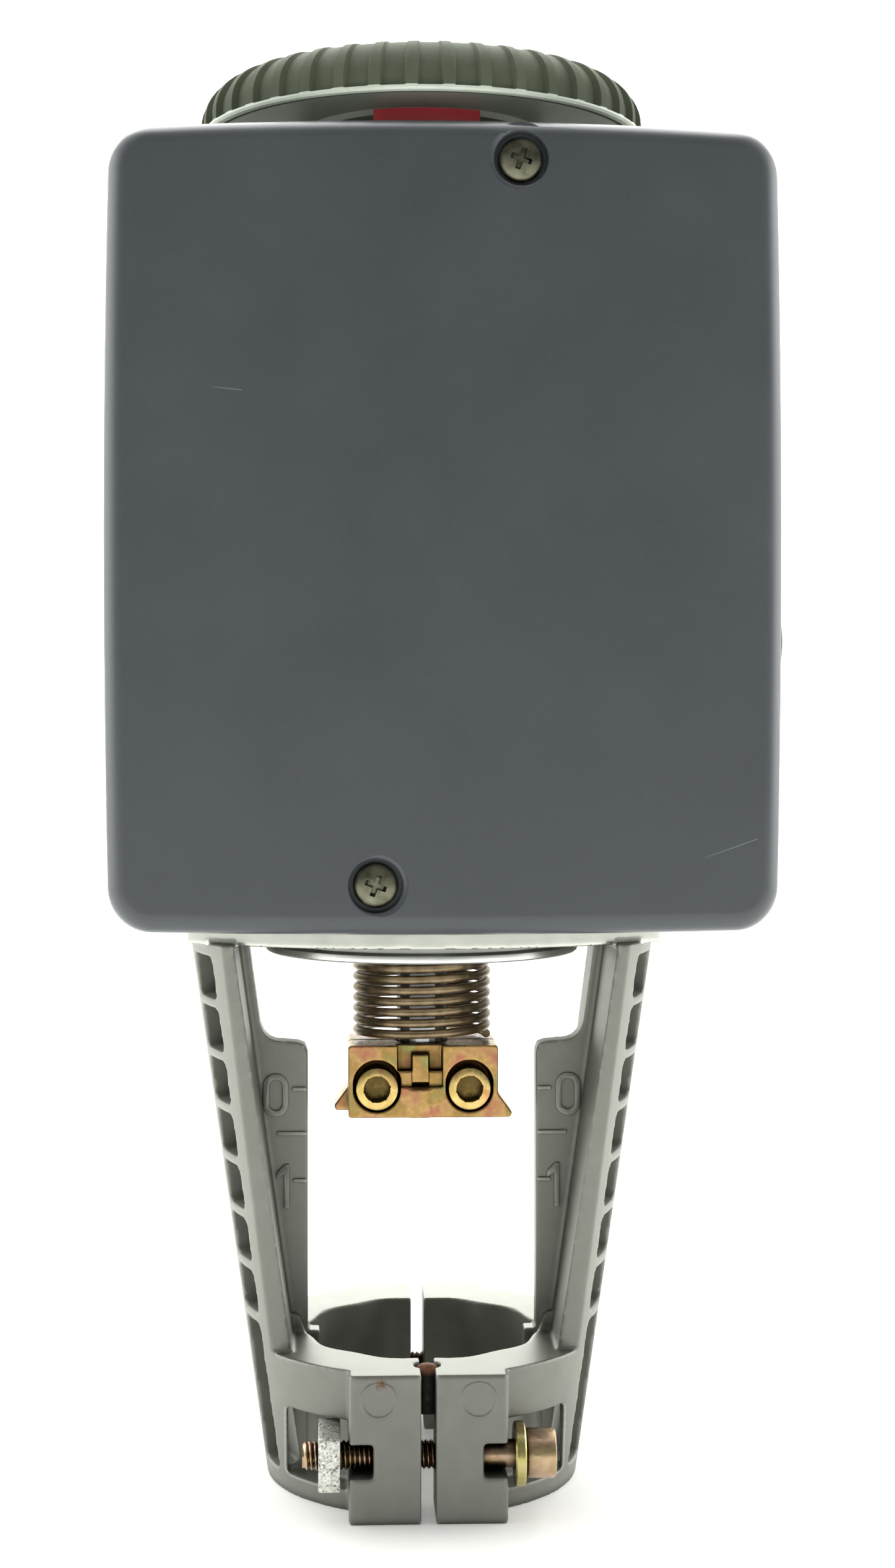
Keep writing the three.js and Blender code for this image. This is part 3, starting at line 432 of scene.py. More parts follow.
def grained_cover():
    """Moulded cover in dark blue-grey ABS: an even, finely grained matt skin that pales at a low
    angle, with three hairline scratches."""
    m, s, here = new_finish("blue_grey_moulded_abs", Roughness=0.38, IOR=1.5)
    cloud = add_node(m, "TexNoise", {"Vector": here, "Scale": 1 / 26.0, "Detail": 3.0})
    tone = add_node(m, "ValToRGB", {0: cloud}, stops=[(0.3, "#3D4247"), (0.7, "#42474C")])
    grain = add_node(m, "TexNoise", {"Vector": here, "Scale": 1 / 0.45, "Detail": 2.0})
    pale = add_node(m, "MapRange", {"Value": grain, "To Max": 0.16, **NOISE_SPAN})
    tone = add_node(m, "Mix", {0: pale, 6: tone, 7: linear("#545A60")}, **COLOUR_MIX)
    for start, end in (((-43.9, 230.6), (-37.7, 229.8)), ((55.4, 136.2), (66.5, 139.8)),
                       ((71.2, 169.6), (71.9, 161.2))):
        line = scratch(m, here, start, end)
        tone = add_node(m, "Mix", {0: line, 6: tone, 7: linear("#757B80")}, **COLOUR_MIX)
    gloss = add_node(m, "MapRange", {"Value": cloud, "To Min": 0.35, "To Max": 0.41, **NOISE_SPAN})
    relief = add_node(m, "Bump", {"Height": grain, "Distance": 0.03 * MM, "Strength": 0.35})
    return finished(m, s, Base_Color=tone, Roughness=gloss, Normal=relief)


def moulded_plastic(name, dark, light, roughness, grain_size=0.5, relief=0.03, shine=0.5):
    """Moulded plastic or rubber with a fine spark-eroded grain."""
    m, s, here = new_finish(name, Roughness=roughness, IOR=1.5, Specular_IOR_Level=shine)
    cloud = add_node(m, "TexNoise", {"Vector": here, "Scale": 1 / 7.0, "Detail": 3.0})
    tone = add_node(m, "ValToRGB", {0: cloud}, stops=[(0.3, dark), (0.7, light)])
    grain = add_node(m, "TexNoise", {"Vector": here, "Scale": 1 / grain_size, "Detail": 2.0})
    gloss = add_node(m, "MapRange", {"Value": grain, "To Min": roughness - 0.07,
                                     "To Max": roughness + 0.07, **NOISE_SPAN})
    dimple = add_node(m, "Bump", {"Height": grain, "Distance": relief * MM, "Strength": 0.4})
    return finished(m, s, Base_Color=tone, Roughness=gloss, Normal=dimple)


def wound_copper():
    """Enamelled copper winding: turns drawn 1 mm apart, coarser than the wire, so that they show, each
    with a painted highlight in bright brown and painted shade in dark brown between them."""
    m, s, here = new_finish("enamelled_copper_winding", Metallic=0.9, Roughness=0.3)
    turns = add_node(m, "TexWave", {"Vector": here, "Scale": 0.32, "Distortion": 0.2}, out="Fac",
                     bands_direction="Z")
    # painted highlight and shade: bands from dark brown between the turns to bright brown on each turn
    tone = add_node(m, "ValToRGB", {0: turns}, stops=[(0.1, "#5B2A17"), (0.8, "#B4633A")])
    relief = add_node(m, "Bump", {"Height": turns, "Distance": 0.15 * MM, "Strength": 0.8})
    return finished(m, s, Base_Color=tone, Normal=relief)


def green_board():
    """Glass-epoxy board under green solder mask, with copper tracks 2 mm apart showing through."""
    m, s, here = new_finish("solder_masked_board", Roughness=0.3, IOR=1.52)
    tracks = add_node(m, "TexBrick", {
        "Vector": here, "Scale": 0.12, "Color1": linear("#2D6A44"), "Color2": linear("#327349"),
        "Mortar": linear("#3F8A58"), "Mortar Size": 0.03}, out="Fac")
    relief = add_node(m, "Bump", {"Height": tracks, "Distance": 0.05 * MM, "Strength": 0.5})
    return finished(m, s, Base_Color=tracks.node.outputs["Color"], Normal=relief)


CAST = die_cast_aluminium()
MACHINED = turned_aluminium("machined_aluminium", "#BFC2BA", 0.3)
LINISHED = turned_aluminium("linished_aluminium", "#A5A79E", 0.42)
BRIGHT_ZINC = turned_aluminium("turned_bright_zinc", "#E4E6E2", 0.36, 0.6)
GOLD_ZINC = yellow_zinc("yellow_chromated_zinc", "#8A8755", "#9A7B49", "#AC8C5B", "#A26F56", "#80603E")
PINK_GOLD = yellow_zinc("pink_chromated_zinc", "#B7AF7C", "#B89C7C", "#CBB196", "#C39C86", "#A0805F")
SCREW_GOLD = yellow_zinc("brassy_chromated_zinc", "#B5A765", "#C4AA66", "#D0B878", "#BE9660", "#A08050")
PALE_GOLD = yellow_zinc("pale_chromated_zinc", "#BDB774", "#B8AE6C", "#C2B97C", "#C9B98A", "#B3A566")
NUT_ZINC = spangled_zinc()
# Spring wire: a thin brown oxide over drawn steel, with a soft sheen
WIRE = filmed_metal("oil_tempered_wire", 0.3, 0.46,
                    [(0.3, "#6F5F4C"), (0.52, "#86755B"), (0.75, "#9A8A70")], (2.6, 3.0), (0.3, 2.0), 0.01)
# Rods and tubes: bright and almost even; cover screws: dull olive-grey zinc plate
STEEL = filmed_metal("ground_steel", 0.18, 0.3, [(0.3, "#8F9193"), (0.7, "#B6B8B9")])
SCREW_STEEL = filmed_metal("dull_zinc_plated_steel", 0.3, 0.45, [(0.3, "#5A5A4C"), (0.7, "#807F6E")])
RUST = weathered_pin()
# Plain bearings: a warm brown-gold, slightly dull
BRONZE = filmed_metal("bearing_bronze", 0.28, 0.45, [(0.3, "#8F6636"), (0.7, "#B98B4E")])
COPPER = wound_copper()
COVER = grained_cover()
KNOB = moulded_plastic("grey_green_polyamide", "#515848", "#5B6252", 0.7, shine=0.12)
# the knob's grey-green polyamide in a much paler copy for its underside: painted light standing in for
# light bounced up from below
KNOB_UNDER_PAINTED_LIGHT = moulded_plastic("grey_green_polyamide_underside_painted_light", "#B9C2B6", "#C2CBBF", 0.4)
# near-white copy of the knob polyamide on its lower rim: a painted highlight standing in for the bright
# backdrop reflected at a grazing angle
KNOB_RIM_PAINTED_HIGHLIGHT = moulded_plastic("polyamide_rim_painted_highlight", "#C3CCC0", "#CFD8CC", 0.3, relief=0.01)
RED = moulded_plastic("red_acetal", "#C23844", "#D0444E", 0.4)
BLACK = moulded_plastic("black_polyamide", "#232527", "#2E3133", 0.5)
RUBBER = moulded_plastic("nitrile_rubber", "#191A1B", "#242526", 0.8, 0.8, 0.05)
BOARD = green_board()
TERMINAL = moulded_plastic("grey_terminal_polyamide", "#8E958E", "#A1A79F", 0.55)

SLOT_FINISH = {
    "cast_aluminium": CAST, "machined_aluminium": MACHINED, "bright_zinc": BRIGHT_ZINC,
    "yellow_zinc": GOLD_ZINC, "tempered_wire": WIRE, "bright_steel": STEEL,
    "dull_zinc": SCREW_STEEL, "rusty_steel": RUST, "bronze": BRONZE, "copper_winding": COPPER,
    "cover_plastic": COVER, "knob_plastic": KNOB, "red_plastic": RED, "black_plastic": BLACK,
    "rubber": RUBBER, "circuit_board": BOARD, "terminal_plastic": TERMINAL,
}
for node in NODES.values():
    slot_name = node.data.materials[0].name
    node.data.materials.clear()
    node.data.materials.append(SLOT_FINISH[slot_name])


# ---- bracket ----
def cone_radius(z):
    return CONE_FOOT + (CONE_HEAD - CONE_FOOT) * z / LEG_TOP


def leg_share(z, foot, head):
    return foot + (head - foot) * (z - RING_TOP) / (LEG_TOP - RING_TOP)


def cone(z0, z1):
    profile = [(0, z0), (cone_radius(z0), z0), (cone_radius(z1), z1), (0, z1)]
    return turned(profile, 160)


def right_leg():
    foot = 24.0
    top = LEG_TOP + 0.4
    rings = []
    for z in (foot, top):
        back = leg_share(z, 28.2, 40.2)
        half = leg_share(z, 20.0, 27.0)
        rings.append([(back, -half, z), (CONE_HEAD + 2, -half, z),
                      (CONE_HEAD + 2, half, z), (back, half, z)])
    leg = cone(foot, top)
    return combined("INTERSECT", leg, [skin(rings)])


def right_web():
    """Scale web inside the right leg, and the pad at its foot."""
    outline = [(25, 24), (32, 24), (42, 117.6), (38.2, 117.6), (35.4, 97.5), (34.6, 95.6),
               (33.4, 94.4), (31.8, 93.8), (27.2, 93.5), (25.6, 92.9), (25, 91.3)]
    web = prism(outline, "y", -3, 3)
    pad = prism(rounded([(25.2, 29), (35, 29), (32.5, 34.5), (27, 34.5)], 1.2),
                "y", -4.4, 4.4)
    return [web, pad]


def scale_marks(side):
    """Raised strokes at 0, half and full travel, on the front of one web; `side` is -1 or 1."""
    inner, half = 25.2, 0.45
    marks = []
    for z, length in ((83.3, 3.2), (73.6, 6.5), (63.3, 3.0)):
        stroke = oblong(side * inner, side * (inner + length), z - half, z + half)
        marks.append(prism(rounded(stroke, 0.4), "y", MARK_FRONT, MARK_BACK))
    return marks


def numerals(side):
    """The 0 and 1 of the stroke scale, upright on the front of one web; `side` is -1 or 1."""
    def figure(outline, x, z, spare=0.0):
        moved = [(side * x + u, z + v) for u, v in outline]
        return prism(moved, "y", MARK_FRONT - spare, MARK_BACK + spare)

    def racetrack(half, tall):
        return rounded(oblong(-half, half, -tall, tall), half * 0.98, 8)

    one = [(-0.6, -4.8), (0.6, -4.8), (0.6, 4.8), (-0.5, 4.8), (-2.2, 3.0), (-2.2, 1.6), (-0.6, 2.6)]
    hole = figure(racetrack(1.5, 3.4), 32.0, 82.0, 1)
    return [cut(figure(racetrack(2.7, 4.6), 32.0, 82.0), hole), figure(one, 29.6, 62.1)]


def pocket(middle, half_height, turn):
    """Ladder pocket tool, `turn` degrees round from the side of the right leg."""
    radius = cone_radius(middle)
    half_width = radius * math.sin(math.radians(7.6))
    corners = oblong(-half_width, half_width, -half_height, half_height)
    tool = prism(rounded(corners, 1.8), "x", -5, 6)
    slope = math.atan((CONE_HEAD - CONE_FOOT) / LEG_TOP)
    tool.data.transform(Matrix.Rotation(slope, 4, "Y"))
    tool.data.transform(Matrix.Translation((radius, 0, middle)))
    tool.data.transform(Matrix.Rotation(math.radians(turn), 4, "Z"))
    return tool


def ladder():
    """Seven short pockets and one long scoop down each edge of a leg."""
    pitch, rib, scoop_foot = 11.2, 1.8, 4.0
    tools = []
    for turn in (-18.2, 18.2):
        top = LEG_TOP - 2.4
        for _ in range(7):
            tools.append(pocket(top - (pitch - rib) / 2, (pitch - rib) / 2, turn))
            top -= pitch
        tools.append(pocket((top + scoop_foot) / 2, (top - scoop_foot) / 2, turn))
    return tools


def lobed_bore():
    """Ring bore with ten shallow lobes."""
    outline = []
    for k in range(240):
        turn = 2 * math.pi * k / 240
        radius = 25 + 0.5 * (1 + math.cos(10 * turn))
        outline.append((radius * math.cos(turn), radius * math.sin(turn)))
    return prism(outline, "z", -1, RING_TOP + 1)


def clamp_tools():
    """Slot, bolt-head pockets, square notches and bolt hole of the front lugs."""
    tools = [block(-1.5, 1.5, -LUG_FRONT - 1, -22, -1, RING_TOP + 1),
             drill("x", 3.3, -LUG_SIDE - 1, LUG_SIDE + 1, (-BOLT_OUT, BOLT_UP))]
    for side in (-1, 1):
        near, far = sorted((side * LUG_SIDE, side * 29))
        head_room = block(near, far, -40, -14, 4.4, 19.6)
        tools.append(cut(head_room, drill("z", 28.6, 0, RING_TOP, steps=96)))
        near, far = sorted((side * 11.3, side * (LUG_SIDE + 1)))
        tools.append(block(near, far, -40, -BOLT_OUT + 3.5, BOLT_UP - 3.5, BOLT_UP + 3.5))
    return tools


def top_plate():
    """Plate with a bowed front and bevelled rear corners."""
    side, back = 50.5, 44.0
    reach = math.asin(side / PLATE_BOW)
    outline = []
    for k in range(49):
        turn = -reach + 2 * reach * k / 48
        outline.append((PLATE_BOW * math.sin(turn), PLATE_BOW_MID - PLATE_BOW * math.cos(turn)))
    outline += [(side, back - 10), (side - 10, back), (-side + 10, back), (-side, back - 10)]
    return prism(outline, "z", LEG_TOP, PLATE_TOP)


def bracket():
    """Cone-shaped casting, worked from solids and then cast afresh so that every edge is soft."""
    front = oblong(-LUG_SIDE, LUG_SIDE, -LUG_FRONT, -20)
    lug = prism(rounded(front, 1.0), "z", 0, RING_TOP)
    key = block(22.4, 28, -2.5, 2.5, RING_TOP - 8, RING_TOP)
    body = joined(cone(0, RING_TOP), half_turn(lug), lug)
    cut(body, lobed_bore())
    web = right_web()
    joined(body, half_turn(key), key)
    leg = right_leg()
    joined(body, half_turn(leg), leg)
    joined(body, *[half_turn(piece) for piece in web])
    joined(body, *web)
    joined(body, top_plate())
    tools = clamp_tools() + ladder()
    cut(body, *[half_turn(tool) for tool in tools])
    cut(body, *tools)
    cut(body, drill("z", 2.75, 20.4, RING_TOP + 1, PIN_AT),
        drill("z", 33.2, LEG_TOP - 1, PLATE_TOP + 1, steps=160),
        *[drill("z", 2.8, LEG_TOP - 1, PLATE_TOP + 1, at) for at in BASE_SCREWS])
    softened(body, 0.42, 3)
    # scale marks on the webs, and a moulded circle on each half of the front lug
    raised = numerals(1) + numerals(-1) + scale_marks(1) + scale_marks(-1)
    for x in (-10.2, 10.2):
        profile = [(3.55 + 0.4 * math.cos(a), -38.95 + 0.17 * math.sin(a))
                   for a in (math.pi * k / 5 for k in range(10))]
        raised.append(turned(profile, 64, "y", (x, 25.3)))
    marks = joined(eased(raised[0], 0.2), *[eased(piece, 0.2) for piece in raised[1:]])
    joined(body, half_turn(marks), marks)
    finishes = [CAST, MACHINED, LINISHED]
    place(body, "yoke_casting", "root", finishes, "yoke_bracket", 60)
    for face in body.data.polygons:
        c = face.center / MM
        inside = c.y > 0 or math.hypot(c.x, c.y - PLATE_BOW_MID) < PLATE_BOW + 0.4
        if c.z > LEG_TOP - 0.2 and inside and face.normal.z > -0.5 and abs(c.x) < 50.8:
            face.material_index = 1
        elif abs(c.z - RING_TOP) < 0.35 and face.normal.z > 0.8:
            face.material_index = 2


# ---- clamp hardware ----
def threaded_rod(major, depth, pitch, axis, low, high, at, steps=28):
    """Screw thread as one winding ridge along a rod."""
    per_pitch = 8
    count = int((high - low) / pitch * per_pitch)
    rings = []
    for k in range(count + 1):
        w = low + (high - low) * k / count
        ends = min(1.0, (w - low) / pitch, (high - w) / pitch)
        ring = []
        for i in range(steps):
            turn = 2 * math.pi * i / steps
            phase = (w / pitch - i / steps) % 1
            ridge = 1 - abs(2 * phase - 1)
            r = major - depth * (1 - max(0.0, min(1.0, 1.3 * ridge)) * max(0.0, ends))
            ring.append(along(axis, at[0] + r * math.cos(turn), at[1] + r * math.sin(turn), w))
        rings.append(ring)
    return skin(rings)


def socket_head(axis, radius, foot, face, at, socket, out):
    """Cap-screw head from its foot to its face; `out`, 1 or -1, is the way it faces on the axis."""
    profile = [(0, foot), (radius - 0.2, foot), (radius, foot + 0.3 * out),
               (radius, face - 0.5 * out), (radius - 0.15, face - 0.175 * out),
               (radius - 0.5, face), (0, face)]
    head = turned(profile, 64, axis, at)
    low, high = sorted((face - 3.6 * out, face + out))
    cut(head, prism(hexagon(socket, at, 0.2), axis, low, high))
    flare = turned([(0, face - 0.6 * out), (socket / 2, face - 0.6 * out),
                    (socket / 2 + 0.35, face + 0.3 * out), (0, face + 0.3 * out)], 64, axis, at)
    return cut(head, flare)


def front_and_rear(piece, name, material, part):
    """Places a piece of the front clamp, and its copy on the rear one."""
    other = half_turn(piece)
    place(piece, name + "_front", "root", material, "front_" + part)
    place(other, name + "_rear", "root", material, "rear_" + part)


def clamp_hardware():
    at = (-BOLT_OUT, BOLT_UP)
    head = socket_head("x", 5.0, 20.3, 26.3, at, 5.0, 1)
    bolt = joined(head, threaded_rod(2.95, 0.5, 1.0, "x", -25.8, 2.4, at),
                  drill("x", 2.85, 1.8, 20.6, at))
    front_and_rear(bolt, "clamp_bolt", PINK_GOLD, "clamp_bolt")
    washer = turned([(3.25, 17.8), (6.2, 17.8), (6.5, 18.1), (6.5, 19.7), (6.2, 20),
                     (3.25, 20)], 64, "x", (-BOLT_OUT, BOLT_UP - 0.1))
    front_and_rear(washer, "clamp_washer", PALE_GOLD, "clamp_washer")
    half = 5.8
    square = rounded(oblong(-half, half, -half, half), 0.8)
    nut = prism(square, "x", -22.5, -18)
    nut.data.transform(Matrix.Rotation(math.radians(6), 4, "X"))
    nut.data.transform(Matrix.Translation((0, -BOLT_OUT, BOLT_UP)))
    eased(nut, 0.45)
    cut(nut, drill("x", 3.25, -24, -17, at))
    front_and_rear(nut, "square_nut", NUT_ZINC, "clamp_nut")
    pin = turned([(0, 20.7), (2.45, 20.7), (2.45, 29.2), (2.2, 29.9), (1.5, 30.4), (0, 30.6)],
                 48, "z", PIN_AT)
    place(pin, "ring_pin", "root", RUST, "locating_pin")


# ---- stem, spring and coupling ----
def coil(radius, wire, foot, top, turns, steps=48, sides=14):
    """Round wire wound evenly round the valve axis."""
    count = int(turns * steps)
    rings = []
    for k in range(count + 1):
        turn = 2 * math.pi * turns * k / count
        z = foot + wire / 2 + (top - foot - wire) * k / count
        slope = (top - foot - wire) / (2 * math.pi * radius * turns)
        out = Vector((math.cos(turn), math.sin(turn), 0))
        ahead = Vector((-math.sin(turn), math.cos(turn), slope)).normalized()
        up = out.cross(ahead)
        centre = out * radius + Vector((0, 0, z))
        rings.append([
            centre + (out * math.cos(a) + up * math.sin(a)) * wire / 2
            for a in (2 * math.pi * i / sides for i in range(sides))])
    return skin(rings)


def springs():
    small = coil(14.2, 1.9, 93.9, 113.3, 7.5)
    place(small, "stem_coil", None, WIRE, "stem_spring", 80)
    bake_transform(small)
    large = coil(23.2, 3.2, 130.3, 208.7, 7)
    place(large, "cylinder_coil", None, WIRE, "return_spring", 80)
    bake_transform(large)


def coupling_half():
    """One half of the stem coupling, with its pointer fin to the right and the stem bores through it."""
    outline = rounded([(-16.2, JAW_FOOT), (18.8, JAW_FOOT), (19.3, JAW_FOOT + 1), (16.2, 83.2),
                       (16.2, JAW_TOP), (-16.2, JAW_TOP)], 0.7)
    half = prism(outline, "y", -10, -0.3)
    return cut(half, drill("z", 5.8, 84.3, 95), drill("z", 4.3, 77, 85))


def coupling():
    """Two halves clamped by two screws; the front one has a window with a tab, and a boss."""
    front = coupling_half()
    cut(front, block(-5.6, 4.2, -11, -7.2, 84.6, 95))
    tab = block(-2.4, 1.2, -9.4, -7, 85.4, 91.6)
    shelf = block(-5.6, -2.4, -9.0, -7, 84.4, 88.0)
    other_shelf = block(1.2, 4.2, -9.0, -7, 84.4, 88.0)
    boss = drill("z", 4.6, JAW_FOOT, 84.2, (-0.7, -6.2), 64)
    joined(front, shelf, other_shelf, tab, boss)
    rear = coupling_half()
    rear.data.transform(Matrix.Rotation(math.pi, 4, "Z"))
    for x, z in CAPSCREWS.values():
        cut(front, drill("y", 5.1, -12, -6, (x, z)), drill("y", 5.1, -12, -6, (x, z + 1)),
            drill("y", 2.7, -12, 0, (x, z)))
        cut(rear, drill("y", 2.7, -1, 8, (x, z)))
    softened(front, 0.22, 3)
    softened(rear, 0.22, 3)
    place(front, "coupling_jaw_front", "stem", GOLD_ZINC, "coupling_front", 60)
    place(rear, "coupling_jaw_rear", "stem", GOLD_ZINC, "coupling_rear", 60)
    for side, at in CAPSCREWS.items():
        head = socket_head("y", 4.6, -6.3, -10.9, at, 5.3, -1)
        shank = threaded_rod(2.45, 0.4, 0.8, "y", -6.5, 7.6, at, 20)
        place(joined(head, shank), "coupling_capscrew_" + side, "stem", SCREW_GOLD,
              "coupling_screw_" + side)


def cap():
    """Turned cap under the cylinder, with a rolled rim."""
    profile = [(9.3, 113.6), (33.7, 113.6), (34.1, 113.9), (34.25, 114.5), (34.1, 115.2), (33.6, 115.6),
               (32.9, 115.8), (32.8, 116.2), (32.8, 121.0), (32.5, 121.3), (26.6, 121.3),
               (26.6, 130), (9.3, 130)]
    place(turned(profile, 192), "cylinder_end_cap", "root", BRIGHT_ZINC,
          "cylinder_cap")


# ---- housing ----
def box_outline(inset, corner_steps=12):
    """Outline of the box from the front, its sides and corners pulled in by `inset`."""
    half = BOX_HALF - inset
    corner = max(BOX_CORNER - inset, 0.8)
    barrel = 0.9
    low, high = BOX_FLOOR + inset, BOX_TOP - inset
    mid = (low + high) / 2
    outline = []
    corners = ((1, low, -90), (1, high, 0), (-1, high, 90), (-1, low, 180))
    for index, (side, edge, first) in enumerate(corners):
        inward = corner if edge == low else -corner
        centre = (BOX_MID + side * (half - corner), edge + inward)
        for k in range(corner_steps + 1):
            turn = math.radians(first + 90 * k / corner_steps)
            outline.append((centre[0] + corner * math.cos(turn), centre[1] + corner * math.sin(turn)))
        start = (outline[-1][0], outline[-1][1])
        if index in (0, 2):
            for k in range(1, 12):
                z = start[1] + (2 * mid - 2 * start[1]) * k / 12
                swell = 1 - ((z - mid) / (mid - start[1])) ** 2
                outline.append((BOX_MID + side * (half + barrel * swell), z))
        else:
            x_end = BOX_MID + (half - corner) * (1 if index == 3 else -1)
            for k in range(1, 14):
                outline.append((start[0] + (x_end - start[0]) * k / 14, edge))
    return outline


def front_at(x):
    """Y of the cover's front, which bows 9 mm from its middle to its sides."""
    return -51 + 9 * ((x - BOX_MID) / BOX_HALF) ** 2


def cover_rings(inset, back, edge):
    """Rings from the back rim over the rounded edge and in to the middle of the bowed front."""
    rings = [[(x, back, z) for x, z in box_outline(inset)]]
    for k in range(10):
        turn = math.pi / 2 * k / 9
        pull = edge * (1 - math.cos(turn))
        outline = box_outline(inset + pull)
        rings.append([(x, front_at(x) + inset + edge * (1 - math.sin(turn)), z) for x, z in outline])
    inner = box_outline(inset + edge)
    mid_z = (BOX_FLOOR + BOX_TOP) / 2
    for share in (0.94, 0.86, 0.76, 0.64, 0.5, 0.35, 0.18, 0.02):
        ring = []
        for x, z in inner:
            u = BOX_MID + (x - BOX_MID) * share
            ring.append((u, front_at(u) + inset, mid_z + (z - mid_z) * share))
        rings.append(ring)
    return rings


def seat_tool(at):
    """Screw seat with a softly rounded mouth."""
    mouth = front_at(at[0])
    floor = mouth + SEAT_DEPTH
    profile = [(0, floor), (5.4, floor), (5.4, mouth + 0.9)]
    profile += [(5.4 + 0.9 * (1 - math.cos(a)), mouth + 0.9 - 0.9 * math.sin(a))
                for a in (math.pi / 8 * k for k in range(1, 5))]
    profile += [(7.2, mouth - 1.2), (0, mouth - 1.2)]
    return turned(profile, 72, "y", at)


def front_cover():
    shell = skin(cover_rings(0, COVER_BACK, 4.2))
    hollow = skin(cover_rings(2.5, COVER_BACK + 1, 3.0))
    cut(shell, hollow)
    for at in COVER_SCREWS.values():
        floor = front_at(at[0]) + SEAT_DEPTH
        joined(shell, turned([(0, floor - 2.2), (7.4, floor - 2.2), (7.4, floor + 2.2),
                              (0, floor + 2.2)], 64, "y", at))
        cut(shell, seat_tool(at), drill("y", 2.7, -52, COVER_BACK, at))
    place(shell, "bowed_cover", "root", COVER, "front_cover", 30, flat=True)


def cover_screws():
    """Pan heads with a cross recess, sitting at the bottom of their seats."""
    for name, tip in (("top", -21.0), ("bottom", -30.0)):
        at = COVER_SCREWS[name]
        seat = front_at(at[0]) + SEAT_DEPTH - 0.3
        dome = [(4.5 * math.sin(a), seat - 1.1 - 1.4 * math.cos(a))
                for a in (math.pi / 2 * k / 8 for k in range(9))]
        profile = dome + [(4.5, seat), (2.2, seat), (2.2, tip), (0, tip)]
        screw = turned(profile, 64, "y", at)
        for turn in (20, 110):
            rings = []
            for y, half, wide in ((seat - 4, 3.1, 0.75), (seat - 1.1, 1.6, 0.4)):
                rings.append([(-half, y, -wide), (half, y, -wide), (half, y, wide), (-half, y, wide)])
            wing = skin(rings)
            wing.data.transform(Matrix.Rotation(math.radians(turn), 4, "Y"))
            wing.data.transform(Matrix.Translation((at[0], 0, at[1])))
            cut(screw, wing)
        eased(screw, 0.12, 2, 40)
        place(screw, "cover_panscrew_" + name, "root", SCREW_STEEL,
              "cover_screw_" + name)


def housing_rings(inset, front, back, edge):
    """Rings from the open front of the box over its rounded rear edge."""
    rings = [[(x, front, z) for x, z in box_outline(inset)]]
    for k in range(9):
        turn = math.pi / 2 * k / 8
        pull = edge * (1 - math.cos(turn))
        rings.append([(x, back - edge * (1 - math.sin(turn)), z)
                      for x, z in box_outline(inset + pull)])
    return rings


def rear_housing():
    """Cast box with softly rounded rear edges, a shallow panel on its back, a neck and cable bosses."""
    shell = skin(housing_rings(0.6, HOUSING_FRONT, HOUSING_BACK, 7))
    panel = rounded(oblong(-38.8, 45.2, 150, 255), 5)
    cut(shell, skin(housing_rings(3.6, HOUSING_FRONT - 1, HOUSING_BACK - 3, 4)),
        prism(panel, "y", HOUSING_BACK - 0.9, HOUSING_BACK + 1))
    neck = turned([(NECK_BORE, BOX_TOP - 2), (31.4, BOX_TOP - 2), (31.0, BOX_TOP - 0.4),
                   (30.3, BOX_TOP + 0.6), (30.2, 286.6), (29.8, 287), (NECK_BORE, 287)], 128)
    joined(shell, neck)
    low_x, low_z = COVER_SCREWS["bottom"]
    high_x, high_z = COVER_SCREWS["top"]
    joined(shell, block(low_x - 8, low_x + 8, HOUSING_FRONT, -29.8, BOX_FLOOR + 2, low_z + 6),
           block(high_x - 6, high_x + 6, HOUSING_FRONT, -18, high_z - 6, BOX_TOP - 2))
    for x in (-57, 63):
        wall = (x - 6.4, x + 5) if x < 0 else (x - 5, x + 6.8)
        for z in (148, 254):
            joined(shell, block(*wall, HOUSING_FRONT, -26, z - 5, z + 5))
    cut(shell, drill("z", 29.6, 120, 126, steps=128), drill("z", 12, 280, 290),
        drill("z", NECK_BORE, BOX_TOP - 0.8, 290, steps=128),
        *[drill("z", 2.8, 120, 126, at) for at in BASE_SCREWS],
        *[drill("y", 2.6, -34, -20, at) for at in COVER_SCREWS.values()],
        *[drill("x", 4.5, 60, 80, at) for at in CABLE_HOLES.values()])
    place(shell, "cast_rear_housing", "root", CAST, "rear_housing", 30, flat=True)


def gasket():
    """Rubber seal between the cover and the housing."""
    outer = prism(box_outline(1.0), "y", -33.5, -32.5)
    cut(outer, prism(box_outline(3.0), "y", -34, -32))
    place(eased(outer, 0.3), "cover_seal", "root", RUBBER, "cover_gasket")


def cable_entries():
    """Hexagon-flanged entries on the right, the upper with a split gland nut, the lower blanked."""
    wall = BOX_MID + BOX_HALF + 0.7
    for name, across, tip in (("gland", 18.0, 7.5), ("plug", 9.72, 4.0)):
        at = CABLE_HOLES[name]
        flange = prism(hexagon(across, at), "x", wall, wall + 4.5)
        eased(flange, 0.5, 2)
        dome = [(0, wall + 4), (tip, wall + 4), (tip, wall + 7.2), (tip - 0.5, wall + 8.1),
                (tip - 1.2, wall + 8.4), (0, wall + 8.4)]
        joined(flange, turned(dome, 64, "x", at),
               drill("x", 4.2, wall - 5, wall + 0.5, at))
        if name == "gland":
            cut(flange, drill("x", 4.0, wall + 2, wall + 9, at))
            for k in range(12):
                turn = math.pi / 6 * k
                cut(flange, drill("x", 0.55, wall + 5.2, wall + 9,
                                  (at[0] + tip * math.cos(turn), at[1] + tip * math.sin(turn)), 12))
        node = "cable_" + name
        place(flange, node + "_body", "root", BLACK, node)


